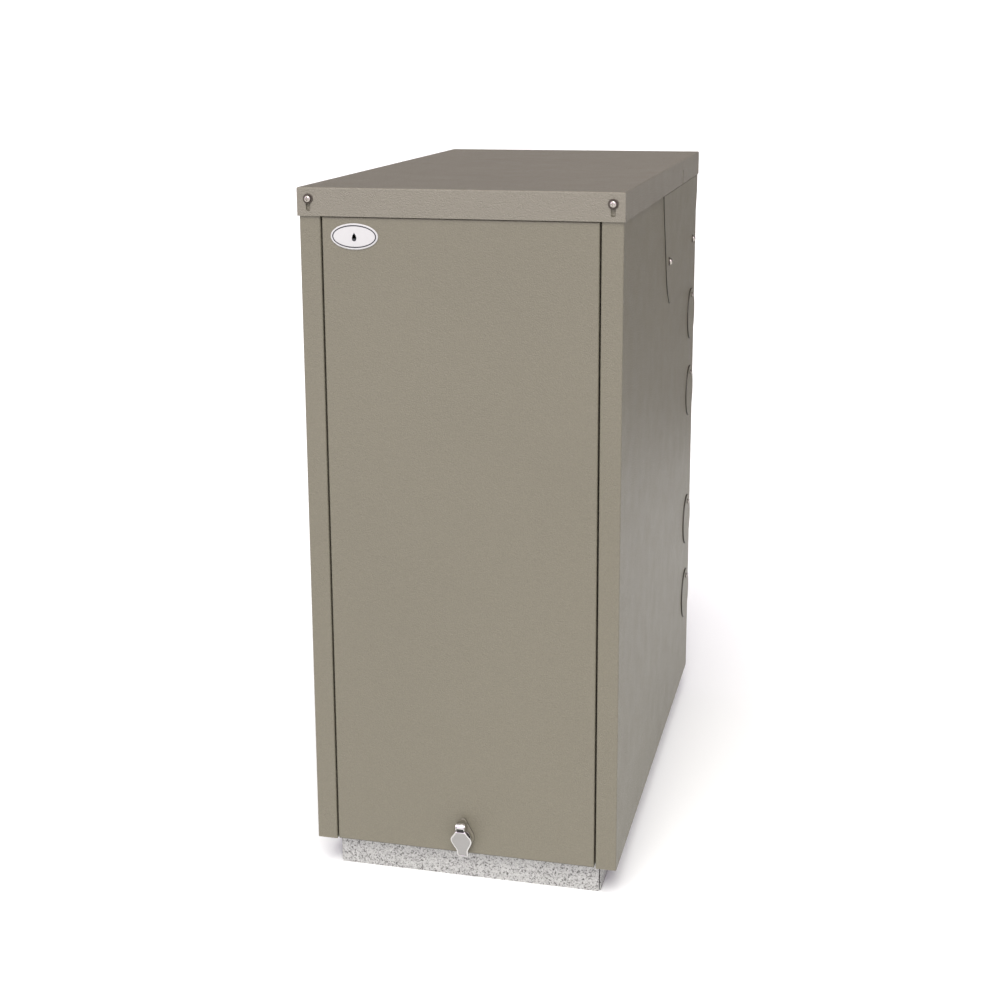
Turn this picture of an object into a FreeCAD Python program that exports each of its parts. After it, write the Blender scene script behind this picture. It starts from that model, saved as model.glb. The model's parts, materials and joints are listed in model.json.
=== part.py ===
import FreeCAD, Part
import math
import os

os.makedirs("parts", exist_ok=True)
V = FreeCAD.Vector

# ---------------------------------------------------------------- driving dimensions (mm)
# Frame: origin in the middle of the base's underside, +X right, +Y to the rear, +Z up.
H = 865.0            # overall height
LID_W = 386.0        # top panel width
LID_D = 700.0        # top panel depth
LID_F = 33.4         # top panel flange height
T = 1.2              # casing sheet thickness
CAS_X = 191.4        # half width of the casing over the side panels
CAS_Y0 = -347.8      # front face of the casing
CAS_Y1 = 341.8       # rear face of the side panels
CAS_Z0 = 42.5        # lower edge of the casing
CAS_Z1 = 862.0       # upper edge of the side panels
PAN_X = 163.95       # half width of the front panel
SEAM = 1.9           # gap between front panel and side panels
PAN_Z0 = 43.0        # lower edge of the front panel
PAN_Z1 = 831.3       # upper edge of the front panel
RET = 17.8           # depth of the folded edges
PAN_RET = 16.0       # depth of the front panel's folded edges
STOP_X = 152.0       # inner edge of the stop strip behind the front panel
R_OUT = 1.9          # outside bend radius
BASE_X = 168.7       # half width of the galvanised base
BASE_Y0, BASE_Y1 = -326.0, 322.0
BASE_T = 1.5
FLOOR_Z = 50.0       # underside of the floor pan
LOCK_Z = 66.0        # lock axis height
SCREW_X, SCREW_Z = 179.3, 851.6        # lid screws
DISC_Y = 294.0       # pipe-hole covers, distance behind the middle
DISC_Z = (625.5, 506.5, 301.0, 180.0)
DISC_R = 38.4
DISC_SCREW = 28.5    # screw above the cover's middle
COVER_T = 1.5
DISC_T = 2.0
PIPE_HOLE_R = 24.0
FLUE_Y, FLUE_Z = 158.0, 757.0
FLUE_SCREWS = ((28.6, 739.0), (288.3, 740.0))
FLUE_R = 50.0        # rear flue socket bore radius
PIPE_R = 11.0        # 22 mm water pipes
OIL_R = 5.0          # 10 mm oil pipe
BZ = 250.0           # burner axis height
FAN_Y, FAN_Z = -200.0, 235.0
PORT_Y = -70.0       # front face of the primary heat exchanger


# ---------------------------------------------------------------- helpers
def box(x0, x1, y0, y1, z0, z1):
    return Part.makeBox(x1 - x0, y1 - y0, z1 - z0, V(x0, y0, z0))


def cyl(r, p, q):
    p, q = V(*p), V(*q)
    d = q - p
    return Part.makeCylinder(r, d.Length, p, d)


def ring(ro, ri, p, q):
    return cyl(ro, p, q).cut(cyl(ri, p, q))


def fuse(*s):
    out = s[0]
    if len(s) > 1:
        out = s[0].multiFuse(list(s[1:]))
    return out.removeSplitter()


def cut(a, *b):
    for s in b:
        a = a.cut(s)
    return a


def edges_at(shape, axis, tests, tol=0.02):
    # edges parallel to an axis whose other two coordinates match one of the tests
    i = "xyz".index(axis)
    rest = [k for k in range(3) if k != i]
    found = []
    for e in shape.Edges:
        if len(e.Vertexes) != 2:
            continue
        a, b = e.Vertexes[0].Point, e.Vertexes[1].Point
        if abs(a[rest[0]] - b[rest[0]]) > tol or abs(a[rest[1]] - b[rest[1]]) > tol:
            continue
        for t in tests:
            if abs(a[rest[0]] - t[0]) < tol and abs(a[rest[1]] - t[1]) < tol:
                found.append(e)
                break
    return found


def fil(shape, r, axis, tests):
    es = edges_at(shape, axis, tests)
    return shape.makeFillet(r, es) if es else shape


def rbox(x0, x1, y0, y1, z0, z1, r, axis):
    # box with the four edges parallel to the axis rounded
    b = box(x0, x1, y0, y1, z0, z1)
    t = {"x": [(y, z) for y in (y0, y1) for z in (z0, z1)],
         "y": [(x, z) for x in (x0, x1) for z in (z0, z1)],
         "z": [(x, y) for x in (x0, x1) for y in (y0, y1)]}[axis]
    return fil(b, r, axis, t)


def prism(pts, axis, a, b):
    # polygon in the plane normal to the axis, extruded from a to b; points in X, Y, Z order without the axis
    def p3(u, v, w):
        return {"x": V(w, u, v), "y": V(u, w, v), "z": V(u, v, w)}[axis]
    w = Part.makePolygon([p3(u, v, a) for u, v in pts] + [p3(pts[0][0], pts[0][1], a)])
    d = {"x": V(b - a, 0, 0), "y": V(0, b - a, 0), "z": V(0, 0, b - a)}[axis]
    return Part.Face(w).extrude(d)


def hexa(af, axis, c, a, b, hole=None):
    r = af / math.sqrt(3)
    pts = [(c[0] + r * math.cos(math.radians(60 * k)), c[1] + r * math.sin(math.radians(60 * k))) for k in range(6)]
    s = prism(pts, axis, a, b)
    if hole:
        i = "xyz".index(axis)
        p, q = list(c), list(c)
        p.insert(i, a - 1)
        q.insert(i, b + 1)
        s = s.cut(cyl(hole, p, q))
    return s


def route(points, radii):
    # straight runs joined by tangent arcs
    pts = [V(*p) for p in points]
    edges, last = [], pts[0]
    for k in range(1, len(pts) - 1):
        u = (pts[k - 1] - pts[k]).normalize()
        w = (pts[k + 1] - pts[k]).normalize()
        half = math.acos(max(-1.0, min(1.0, u.dot(w)))) / 2
        d = radii[k - 1] / math.tan(half)
        a, b = pts[k] + u * d, pts[k] + w * d
        bis = (u + w).normalize()
        centre = pts[k] + bis * (radii[k - 1] / math.sin(half))
        mid = centre - bis * radii[k - 1]
        edges.append(Part.LineSegment(last, a).toShape())
        edges.append(Part.Arc(a, mid, b).toShape())
        last = b
    edges.append(Part.LineSegment(last, pts[-1]).toShape())
    return Part.Wire(edges)


def pipe(points, radii, r, r_in=None):
    wire = route(points, radii)
    p0 = wire.Edges[0].Vertexes[0].Point if len(points) > 1 else V(*points[0])
    start, nxt = V(*points[0]), V(*points[1])

    def solid(rad):
        prof = Part.Wire([Part.makeCircle(rad, start, nxt - start)])
        return wire.makePipeShell([prof], True, False)
    s = solid(r)
    if r_in:
        s = s.cut(solid(r_in))
    return s


def pan_screw(p, out, r_head, h_head, r_shank, l_shank, r_flange=0.0, h_flange=0.9):
    # pan head screw: p is the seat point, out the direction the head faces; crowned head with a cross recess,
    # and a washer flange under the head where a flange radius is given
    p, n = V(*p), V(*out)
    head = Part.makeCylinder(r_head, h_head, p, n)
    top = [e for e in head.Edges if abs((e.CenterOfMass - p).dot(n) - h_head) < 1e-3]
    head = head.makeFillet(h_head * 0.72, top)
    side = V(0, 0, 1)
    other = n.cross(side)
    w, l, d = r_head * 0.26, r_head * 1.15, h_head * 0.55
    for a, b in ((side, other), (other, side)):
        o = p + n * (h_head - d) - a * (l / 2) - b * (w / 2)
        q = Part.Face(Part.makePolygon([o, o + a * l, o + a * l + b * w, o + b * w, o])).extrude(n * (d + 1))
        head = head.cut(q)
    if r_flange:
        fl = Part.makeCylinder(r_flange, h_flange, p, n)
        fl = fl.makeFillet(h_flange * 0.45, [e for e in fl.Edges if abs((e.CenterOfMass - p).dot(n) - h_flange) < 1e-3])
        head = head.fuse(fl)
    return head.fuse(Part.makeCylinder(r_shank, l_shank + 0.0, p - n * l_shank, n)).removeSplitter()


PARTS = {}


def keep(name, shape):
    PARTS[name] = shape


# ---------------------------------------------------------------- casing
def side_panel():
    lip = box(PAN_X + SEAM, PAN_X + SEAM + T, CAS_Y0, CAS_Y0 + RET, CAS_Z0, CAS_Z1)
    jamb = box(PAN_X + SEAM, CAS_X, CAS_Y0, CAS_Y0 + T, CAS_Z0, CAS_Z1)
    web = box(CAS_X - T, CAS_X, CAS_Y0, CAS_Y1, CAS_Z0, CAS_Z1)
    back = box(171.0, CAS_X, CAS_Y1 - T, CAS_Y1, CAS_Z0, CAS_Z1)
    # stop strip welded to the lip, behind the edge of the front panel
    stop = box(STOP_X, PAN_X + SEAM, CAS_Y0 + RET - T, CAS_Y0 + RET, CAS_Z0, PAN_Z1)
    s = fuse(lip, jamb, web, back)
    s = fil(s, R_OUT, "z", [(PAN_X + SEAM, CAS_Y0), (CAS_X, CAS_Y0), (CAS_X, CAS_Y1)])
    s = fil(s, R_OUT - T, "z", [(PAN_X + SEAM + T, CAS_Y0 + T), (CAS_X - T, CAS_Y0 + T), (CAS_X - T, CAS_Y1 - T)])
    foot = box(171.0, CAS_X - T + 0.6, CAS_Y0 + 8, CAS_Y1 - 8, CAS_Z0, CAS_Z0 + T)
    s = fuse(s, foot)
    # notch for the lid screw, open at the top
    s = cut(s, box(SCREW_X - 2.9, SCREW_X + 2.9, CAS_Y0 - 1, CAS_Y0 + T + 1, SCREW_Z - 2.8, CAS_Z1 + 1))
    # pipe holes, flue opening, screw holes
    for z in DISC_Z:
        s = cut(s, cyl(PIPE_HOLE_R, (CAS_X - 5, DISC_Y, z - 2), (CAS_X + 5, DISC_Y, z - 2)))
        s = cut(s, cyl(1.75, (CAS_X - 5, DISC_Y, z + DISC_SCREW), (CAS_X + 5, DISC_Y, z + DISC_SCREW)))
    s = cut(s, cyl(66, (CAS_X - 5, FLUE_Y, FLUE_Z - 4), (CAS_X + 5, FLUE_Y, FLUE_Z - 4)))
    for y, z in FLUE_SCREWS:
        s = cut(s, cyl(2.05, (CAS_X - 5, y, z), (CAS_X + 5, y, z)))
    for z in (120.0, 470.0, 800.0):
        s = cut(s, cyl(1.75, (180.0, CAS_Y1 - 5, z), (180.0, CAS_Y1 + 5, z)))
    return Part.makeCompound([s, stop])


right = side_panel()
keep("right_side_panel", right)
keep("left_side_panel", right.mirror(V(0, 0, 0), V(1, 0, 0)))

# back panel: flue opening, pipe openings and rows of air slots
bp = box(-190.2, 190.2, CAS_Y1 + 0.2, CAS_Y1 + 0.2 + T, CAS_Z0, CAS_Z1)
bp = rbox(-190.2, 190.2, CAS_Y1 + 0.2, CAS_Y1 + 0.2 + T, CAS_Z0, CAS_Z1, 2.0, "y")
holes = [cyl(FLUE_R + 4.5, (0, 330, FLUE_Z), (0, 350, FLUE_Z)),
         cyl(26, (-110, 330, 640), (-110, 350, 640)),
         cyl(26, (-135, 330, 260), (-135, 350, 260)),
         cyl(14, (140, 330, 100), (140, 350, 100))]
for row in range(7):
    for cx in (-70.0, 0.0, 70.0):
        z = 84.0 + 13.0 * row
        holes.append(fuse(box(cx - 24, cx + 24, 330, 350, z - 2.5, z + 2.5),
                          cyl(2.5, (cx - 24, 330, z), (cx - 24, 350, z)), cyl(2.5, (cx + 24, 330, z), (cx + 24, 350, z))))
for sx in (-180.0, 180.0):
    for z in (120.0, 470.0, 800.0):
        holes.append(cyl(1.75, (sx, 330, z), (sx, 350, z)))
keep("back_panel", cut(bp, *holes))

# top panel: folded tray with slotted flanges and open corner joints
lx, ly = LID_W / 2, LID_D / 2
outer = box(-lx, lx, -ly, ly, H - LID_F, H)
outer = outer.makeFillet(R_OUT, edges_at(outer, "x", [(-ly, H), (ly, H)]) + edges_at(outer, "y", [(-lx, H), (lx, H)]))
inner = box(-lx + T, lx - T, -ly + T, ly - T, H - LID_F - 1, H - T)
inner = inner.makeFillet(R_OUT - T, edges_at(inner, "x", [(-ly + T, H - T), (ly - T, H - T)]) + edges_at(inner, "y", [(-lx + T, H - T), (lx - T, H - T)]))
lid = outer.cut(inner)
for sx in (-1, 1):
    for sy in (-1, 1):
        xa, xb = sorted((sx * (lx - T - 0.3), sx * (lx + 1)))
        ya, yb = sorted((sy * (ly - T - 0.45), sy * (ly - T + 0.15)))
        lid = lid.cut(box(xa, xb, ya, yb, H - LID_F - 1, H - 3.2))
    x = sx * SCREW_X
    lid = cut(lid, box(x - 2.8, x + 2.8, -ly - 1, -ly + T + 1, 839.8, SCREW_Z),
              cyl(2.8, (x, -ly - 1, 839.8), (x, -ly + T + 1, 839.8)), cyl(2.8, (x, -ly - 1, SCREW_Z), (x, -ly + T + 1, SCREW_Z)))
    xa, xb = sorted((sx * (lx - T - 1), sx * (lx + 1)))
    lid = cut(lid, box(xa, xb, 156, 164, H - LID_F - 1, 847.6), cyl(4, (xa, 160, 847.6), (xb, 160, 847.6)))
keep("top_panel", lid)

# lid screws with their nuts: two screws, lifted off with the top panel
sc = []
for x in (-SCREW_X, SCREW_X):
    sc.append(pan_screw((x, -ly, SCREW_Z), (0, -1, 0), 4.3, 4.0, 2.4, 12.0, 6.0))
    sc.append(hexa(8.0, "y", (x, SCREW_Z), -346.2, -342.4, 2.44))
keep("lid_screws", Part.makeCompound(sc))

# front panel: folded tray
outer = box(-PAN_X, PAN_X, CAS_Y0, CAS_Y0 + PAN_RET, PAN_Z0, PAN_Z1)
outer = outer.makeFillet(R_OUT, edges_at(outer, "x", [(CAS_Y0, PAN_Z0), (CAS_Y0, PAN_Z1)]) + edges_at(outer, "z", [(-PAN_X, CAS_Y0), (PAN_X, CAS_Y0)]))
inner = box(-PAN_X + T, PAN_X - T, CAS_Y0 + T, CAS_Y0 + PAN_RET + 1, PAN_Z0 + T, PAN_Z1 - T)
inner = inner.makeFillet(R_OUT - T, edges_at(inner, "x", [(CAS_Y0 + T, PAN_Z0 + T), (CAS_Y0 + T, PAN_Z1 - T)]) + edges_at(inner, "z", [(-PAN_X + T, CAS_Y0 + T), (PAN_X - T, CAS_Y0 + T)]))
fp = outer.cut(inner).cut(cyl(9.2, (0, -360, LOCK_Z), (0, -330, LOCK_Z)))
keep("front_panel", fp)

# oval badge: plain plate with a raised rim
def oval(a, b, c, y0, y1):
    e = Part.Ellipse(V(c[0], y0, c[1]), a, b)
    e = Part.Edge(Part.Ellipse(V(a, 0, 0), V(0, b, 0), V(0, 0, 0)))
    f = Part.Face(Part.Wire([e]))
    s = f.extrude(V(0, 0, y1 - y0))
    s.rotate(V(0, 0, 0), V(1, 0, 0), 90)          # plate normal now runs towards -Y
    s.translate(V(c[0], y1, c[1]))
    return s


bc = (-124.3, 808.6)
badge = fuse(oval(28.8, 15.3, bc, CAS_Y0 - 0.9, CAS_Y0), oval(28.8, 15.3, bc, CAS_Y0 - 1.3, CAS_Y0 - 0.9 + 0.01))
badge = badge.cut(oval(26.6, 13.1, bc, CAS_Y0 - 1.6, CAS_Y0 - 0.9))
keep("oval_badge", badge)

# ---------------------------------------------------------------- lock on the front panel
# pear-shaped boss
boss = fuse(cyl(13.8, (0, CAS_Y0 - 2.4, LOCK_Z), (0, CAS_Y0, LOCK_Z)),
            prism([(-13.0, LOCK_Z + 4.6), (13.0, LOCK_Z + 4.6), (3.4, 88.6), (-3.4, 88.6)], "y", CAS_Y0 - 2.4, CAS_Y0),
            cyl(3.9, (0, CAS_Y0 - 2.4, 86.6), (0, CAS_Y0, 86.6)))
rim = [e for e in boss.Edges if all(abs(v.Point.y - (CAS_Y0 - 2.4)) < 1e-3 for v in e.Vertexes)]
try:
    boss = boss.makeFillet(1.4, rim)
except Exception:
    pass
boss = boss.cut(cyl(9.2, (0, -360, LOCK_Z), (0, -330, LOCK_Z)))
keep("lock_boss", boss)

BOSS_Y = CAS_Y0 - 2.4
HINGE = (-361.0, 84.4)      # flap hinge axis, Y and Z
BARREL_R = 5.3              # rolled barrel at the top of the dust flap
body = fuse(cyl(11.0, (0, -355.2, LOCK_Z), (0, BOSS_Y, LOCK_Z)), cyl(9.0, (0, -352.0, LOCK_Z), (0, -334.0, LOCK_Z)))
ears = []
for sx in (-1, 1):
    x0, x1 = sorted((sx * 4.5, sx * 5.6))
    ear = prism([(-355.0, 70.0), (BOSS_Y, 70.0), (BOSS_Y, 86.0), (-357.5, HINGE[1] + 3.6), (-363.0, 80.2)], "x", x0, x1)
    ears.append(fuse(ear, cyl(BARREL_R - 0.2, (x0, HINGE[0], HINGE[1]), (x1, HINGE[0], HINGE[1]))))
body = fuse(body, *ears)
body = cut(body, cyl(6.05, (0, -370, LOCK_Z), (0, -330, LOCK_Z)), cyl(1.23, (-10, HINGE[0], HINGE[1]), (10, HINGE[0], HINGE[1])))
keep("lock_housing", body)
keep("flap_pin", cyl(1.2, (-5.7, HINGE[0], HINGE[1]), (5.7, HINGE[0], HINGE[1])))

# dust flap: slanting leaf with a rolled barrel
half = [(4.3, 90.0), (4.3, 79.2), (6.3, 78.8), (6.8, 77.8), (9.0, 74.5), (12.5, 69.8), (13.5, 66.6), (13.2, 63.2), (11.6, 59.0), (9.0, 54.0), (7.4, 50.6), (7.0, 48.0), (7.0, 41.6), (5.4, 40.0)]
prof = prism([(-x, z) for x, z in reversed(half)] + half, "y", -375, -340)
leaf = prism([(-366.14, 84.1), (-361.3, 64.0), (-353.2, 40.5), (-352.0, 40.0), (-351.9, 40.9), (-360.0, 64.4), (-364.7, 84.1)], "x", -20, 20)
leaf = leaf.common(prof)
barrel = cyl(BARREL_R, (-4.3, HINGE[0], HINGE[1]), (4.3, HINGE[0], HINGE[1]))
flap = fuse(leaf, barrel).cut(cyl(1.25, (-10, HINGE[0], HINGE[1]), (10, HINGE[0], HINGE[1])))
keep("lock_flap", flap)

plug = fuse(cyl(6.0, (0, -354.6, LOCK_Z), (0, -331.6, LOCK_Z)), box(-2.9, 2.9, -331.8, -323.4, LOCK_Z - 2.9, LOCK_Z + 2.9))
plug = plug.cut(box(-0.7, 0.7, -356, -351.0, LOCK_Z - 3.6, LOCK_Z + 3.6))
keep("lock_plug", plug)
cam = fuse(prism([(-6.0, LOCK_Z - 5.4), (13.6, LOCK_Z - 5.4), (13.6, LOCK_Z + 5.4), (-6.0, LOCK_Z + 5.4)], "y", -327.0, -325.4))
cam = rbox(-6.0, 13.6, -327.0, -325.4, LOCK_Z - 5.4, LOCK_Z + 5.4, 3.0, "y").cut(box(-2.95, 2.95, -330, -320, LOCK_Z - 2.95, LOCK_Z + 2.95))
keep("lock_cam", cam)

# ---------------------------------------------------------------- galvanised base and floor pan
zt = FLOOR_Z - 0.2
tray = box(-BASE_X, BASE_X, BASE_Y0, BASE_Y1, 0, zt)
tray = tray.makeFillet(3.2, edges_at(tray, "x", [(BASE_Y0, zt), (BASE_Y1, zt)]) + edges_at(tray, "y", [(-BASE_X, zt), (BASE_X, zt)]))
hollow = box(-BASE_X + BASE_T, BASE_X - BASE_T, BASE_Y0 + BASE_T, BASE_Y1 - BASE_T, -1, zt - BASE_T)
hollow = hollow.makeFillet(1.7, edges_at(hollow, "x", [(BASE_Y0 + BASE_T, zt - BASE_T), (BASE_Y1 - BASE_T, zt - BASE_T)]) + edges_at(hollow, "y", [(-BASE_X + BASE_T, zt - BASE_T), (BASE_X - BASE_T, zt - BASE_T)]))
tray = tray.cut(hollow)
for sx in (-1, 1):
    for sy in (BASE_Y0, BASE_Y1):
        # open corner: the side flange stops short behind the front flange
        xa, xb = sorted((sx * (BASE_X - 2.2), sx * (BASE_X + 1)))
        ya, yb = sorted((sy - (1 if sy < 0 else -1), sy + (3.4 if sy < 0 else -3.4)))
        tray = tray.cut(box(xa, xb, ya, yb, -1, zt + 1))
# inward feet along the lower edges that rest on the ground
tray = fuse(tray, box(-BASE_X + BASE_T - 0.2, -BASE_X + 26, BASE_Y0 + 20, BASE_Y1 - 20, 0, BASE_T), box(BASE_X - 26, BASE_X - BASE_T + 0.2, BASE_Y0 + 20, BASE_Y1 - 20, 0, BASE_T))
tray = fuse(tray, box(-BASE_X + BASE_T - 0.2, BASE_X - BASE_T + 0.2, -20, 20, 0, BASE_T))
keep("base_tray", tray)

pan = fuse(box(-189.2, 189.2, -326.6, 340.2, FLOOR_Z, FLOOR_Z + T),
           box(188.0, 189.2, -322, 336, FLOOR_Z, FLOOR_Z + 26), box(-189.2, -188.0, -322, 336, FLOOR_Z, FLOOR_Z + 26),
           box(-169, 169, 339.0, 340.2, FLOOR_Z, FLOOR_Z + 26),
           box(-16, 16, -329.0, -326.0, FLOOR_Z, FLOOR_Z + T), box(-16, 16, -329.0, -327.8, FLOOR_Z, 60.0))
for x in (-120, 120):
    pan = cut(pan, cyl(9, (x, -250, 40), (x, -250, 60)))
keep("floor_pan", pan)

# ---------------------------------------------------------------- blanking plates and casing screws
plate_pts = [(-30.0, 831.0), (11.0, 717.0), (22.0, 697.0), (44.0, 678.5), (272.0, 678.5), (294.0, 697.0), (305.0, 717.0), (338.0, 808.0), (338.0, 831.0)]
flue_plate = prism(plate_pts, "x", CAS_X, CAS_X + COVER_T)
flue_plate = fil(flue_plate, 22.0, "x", [(11.0, 717.0), (22.0, 697.0), (44.0, 678.5), (272.0, 678.5), (294.0, 697.0), (305.0, 717.0)])
face = [e for e in flue_plate.Edges if all(abs(v.Point.x - (CAS_X + COVER_T)) < 1e-3 for v in e.Vertexes) and not all(abs(v.Point.z - 831.0) < 1e-3 for v in e.Vertexes)]
try:
    flue_plate = flue_plate.makeFillet(0.6, face)
except Exception:
    pass
for y, z in FLUE_SCREWS:
    flue_plate = flue_plate.cut(cyl(2.05, (CAS_X - 5, y, z), (CAS_X + 5, y, z)))
keep("flue_covers", Part.makeCompound([flue_plate, flue_plate.mirror(V(0, 0, 0), V(1, 0, 0))]))

discs = []
for z in DISC_Z:
    d = cyl(DISC_R, (CAS_X, DISC_Y, z), (CAS_X + DISC_T, DISC_Y, z))
    d = d.makeFillet(0.6, [e for e in d.Edges if abs(e.CenterOfMass.x - CAS_X - DISC_T) < 1e-3 and len(e.Vertexes) == 1])
    discs.append(d.cut(cyl(1.75, (CAS_X - 5, DISC_Y, z + DISC_SCREW), (CAS_X + 5, DISC_Y, z + DISC_SCREW))))
keep("pipe_covers", Part.makeCompound(discs + [d.mirror(V(0, 0, 0), V(1, 0, 0)) for d in discs]))

screws = []
for sx in (-1, 1):
    for y, z in FLUE_SCREWS:
        screws.append(pan_screw((sx * (CAS_X + COVER_T), y, z), (sx, 0, 0), 4.3, 4.6, 2.0, 9.0, 5.8))
    for z in DISC_Z:
        screws.append(pan_screw((sx * (CAS_X + DISC_T), DISC_Y, z + DISC_SCREW), (sx, 0, 0), 2.9, 2.4, 1.7, 8.0, 3.9, 0.7))
    for z in (120.0, 470.0, 800.0):
        screws.append(pan_screw((sx * 180.0, CAS_Y1 + 0.2 + T, z), (0, 1, 0), 4.0, 2.4, 1.7, 8.0))
keep("casing_screws", Part.makeCompound(screws))

# ---------------------------------------------------------------- primary heat exchanger
PX, PY0, PY1, PZ0, PZ1 = 125.0, PORT_Y, 170.0, 120.0, 700.0     # outer skin
CX, CY0, CY1, CZ0 = 95.0, -40.0, 140.0, 150.0                  # combustion chamber
shell = box(-PX, PX, PY0, PY1, PZ0, PZ1)
water = box(-PX + 3, PX - 3, PY0 + 3, PY1 - 3, PZ0 + 3, PZ1 - 6).cut(box(-CX - 4, CX + 4, CY0 - 4, CY1 + 4, CZ0 - 4, PZ1))
water = cut(water, cyl(52, (0, PY0 - 1, BZ), (0, CY0 + 1, BZ)), box(-64, 64, CY1 - 1, PY1 + 1, 596, 684))
shell = cut(shell, water, box(-CX, CX, CY0, CY1, CZ0, PZ1 + 1), cyl(48, (0, PY0 - 1, BZ), (0, CY0 + 1, BZ)), box(-60, 60, CY1 - 1, PY1 + 1, 600, 680))
feet = []
for sx in (-1, 1):
    for y in (PY0 + 4, PY1 - 34):
        xa, xb = sorted((sx * 84, sx * 120))
        feet.append(box(xa, xb, y, y + 30, FLOOR_Z + T, FLOOR_Z + T + 4))
        feet.append(box(min(sx * 116, sx * 120), max(sx * 116, sx * 120), y, y + 30, FLOOR_Z + T, PZ0 + 1))
ledges = [box(-CX - 1, -CX + 8, CY0 - 1, CY1 + 1, 458, 464), box(CX - 8, CX + 1, CY0 - 1, CY1 + 1, 458, 464)]
studs = [cyl(4, (sx * 110, y, PZ1 - 6), (sx * 110, y, 722)) for sx in (-1, 1) for y in (-55, 155)]
bstuds = [cyl(4, (sx * 60, PY0 + 3, BZ + sz * 60), (sx * 60, -93, BZ + sz * 60)) for sx in (-1, 1) for sz in (-1, 1)]
shell = fuse(shell, *(feet + ledges + studs + bstuds))
shell = cut(shell, cyl(8, (-110, PY1 - 10, 640), (-110, PY1 + 1, 640)), cyl(6, (85, PY0 - 1, 138), (85, PY0 + 10, 138)))
keep("primary_heat_exchanger", shell)

bz = [470.0, 520.0, 570.0]
baf = [box(-92, 92, CY0 + 3, 108, bz[0] - 5.6, bz[0] - 1.6), box(-86, 86, -8, CY1 - 3, bz[1], bz[1] + 4), box(-86, 86, CY0 + 3, 108, bz[2], bz[2] + 4)]
baf += [cyl(5, (sx * 55, 50, bz[0] - 5), (sx * 55, 50, 690)) for sx in (-1, 1)]
baf.append(box(-60, 60, 46, 54, 684, 690))
keep("baffles", fuse(*baf))

cover = rbox(-122, 122, -67, 167, PZ1 + 0.3, PZ1 + 6.3, 10, "z")
cover = fuse(cover, box(-100, 100, -45, -41, PZ1 + 6, PZ1 + 14), box(-100, 100, 141, 145, PZ1 + 6, PZ1 + 14),
             box(-50, -46, -41, 141, PZ1 + 6, PZ1 + 14), box(46, 50, -41, 141, PZ1 + 6, PZ1 + 14))
for sx in (-1, 1):
    for y in (-55, 155):
        cover = cover.cut(cyl(4.5, (sx * 110, y, 690), (sx * 110, y, 730)))
keep("access_cover", cover)

nuts = [hexa(13, "z", (sx * 110, y), PZ1 + 6.4, PZ1 + 13, 4.05) for sx in (-1, 1) for y in (-55, 155)]
nuts += [hexa(13, "y", (sx * 60, BZ + sz * 60), -90.8, -84.2, 4.05) for sx in (-1, 1) for sz in (-1, 1)]
keep("boiler_nuts", Part.makeCompound(nuts))

jk = box(-143.5, 143.5, -88.0, 168.0, 126, 694).cut(box(-125.6, 125.6, -70.6, 169, 125, 695))
jk = jk.cut(rbox(-86, 86, -90, -68, 164, 336, 8, "y"))
jk = jk.cut(box(70, 100, -90, -68, 120, 153))
jk = fil(jk, 12, "z", [(-143.5, -88.0), (143.5, -88.0)])
keep("insulation_jacket", jk)

# ---------------------------------------------------------------- secondary (condensing) heat exchanger and flue way
SX, SY0, SY1, SZ0, SZ1 = 90.0, 186.0, 290.0, 150.0, 690.0
sec = box(-SX, SX, SY0, SY1, SZ0, SZ1)
gas_top = box(-SX + 2, SX - 2, SY0 + 2, SY1 - 2, 563, SZ1 - 2)
gas_bot = box(-SX + 2, SX - 2, SY0 + 2, SY1 - 2, SZ0 + 2, 227)
wat = box(-SX + 2, SX - 2, SY0 + 2, SY1 - 2, 230, 560)
tubes, bores = [], []
for ix in range(5):
    for iy in range(3):
        x, y = -68 + 34 * ix, 206 + 32 * iy
        tubes.append(cyl(11, (x, y, 229), (x, y, 561)))
        bores.append(cyl(9.5, (x, y, 225), (x, y, 565)))
wat = cut(wat, *tubes)
sec = cut(sec, gas_top, gas_bot, wat, *bores)
neck = box(-64, 64, PY1 + 0.3, SY0 + 1, 596, 684)
sec = fuse(sec, neck)
sec = cut(sec, box(-60, 60, PY1 - 1, SY0 + 3, 600, 680), box(-40, 40, SY1 - 3, SY1 + 1, 162, 214),
          cyl(8, (-SX - 1, 240, 260), (-SX + 5, 240, 260)), cyl(8, (-SX - 1, 262, 172), (-SX + 5, 262, 172)))
# feet under the sump
for sx in (-1, 1):
    xa, xb = sorted((sx * 60, sx * 64))
    sec = fuse(sec, box(xa, xb, 200, 280, FLOOR_Z + T, SZ0 + 1))
    xa, xb = sorted((sx * 64, sx * 86))
    sec = fuse(sec, box(xa - (0.5 if sx > 0 else 0), xb + (0.5 if sx < 0 else 0), 200, 280, FLOOR_Z + T, FLOOR_Z + T + 4))
keep("secondary_heat_exchanger", sec)

duct = box(-46, 46, SY1 + 0.4, 334, 158, 705)
plen = box(-58, 58, 246, 334, 700, 815)
sock = cyl(FLUE_R + 3, (0, 300, FLUE_Z), (0, 346.0, FLUE_Z))
man = fuse(duct, plen)
man = cut(man, box(-43.5, 43.5, SY1 + 2.6, 331.6, 160.4, 712), box(-55.6, 55.6, 248.4, 331.6, 702.4, 812.6), box(-40, 40, SY1 - 1, SY1 + 4, 162, 214))
man = fuse(man, sock)
man = cut(man, cyl(FLUE_R, (0, 299, FLUE_Z), (0, 350, FLUE_Z)))
keep("flue_manifold", man)
seal = ring(FLUE_R + 14, FLUE_R + 3.05, (0, CAS_Y1 + 0.25 + T, FLUE_Z), (0, CAS_Y1 + T + 3.4, FLUE_Z))
keep("flue_seal", seal)

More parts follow.
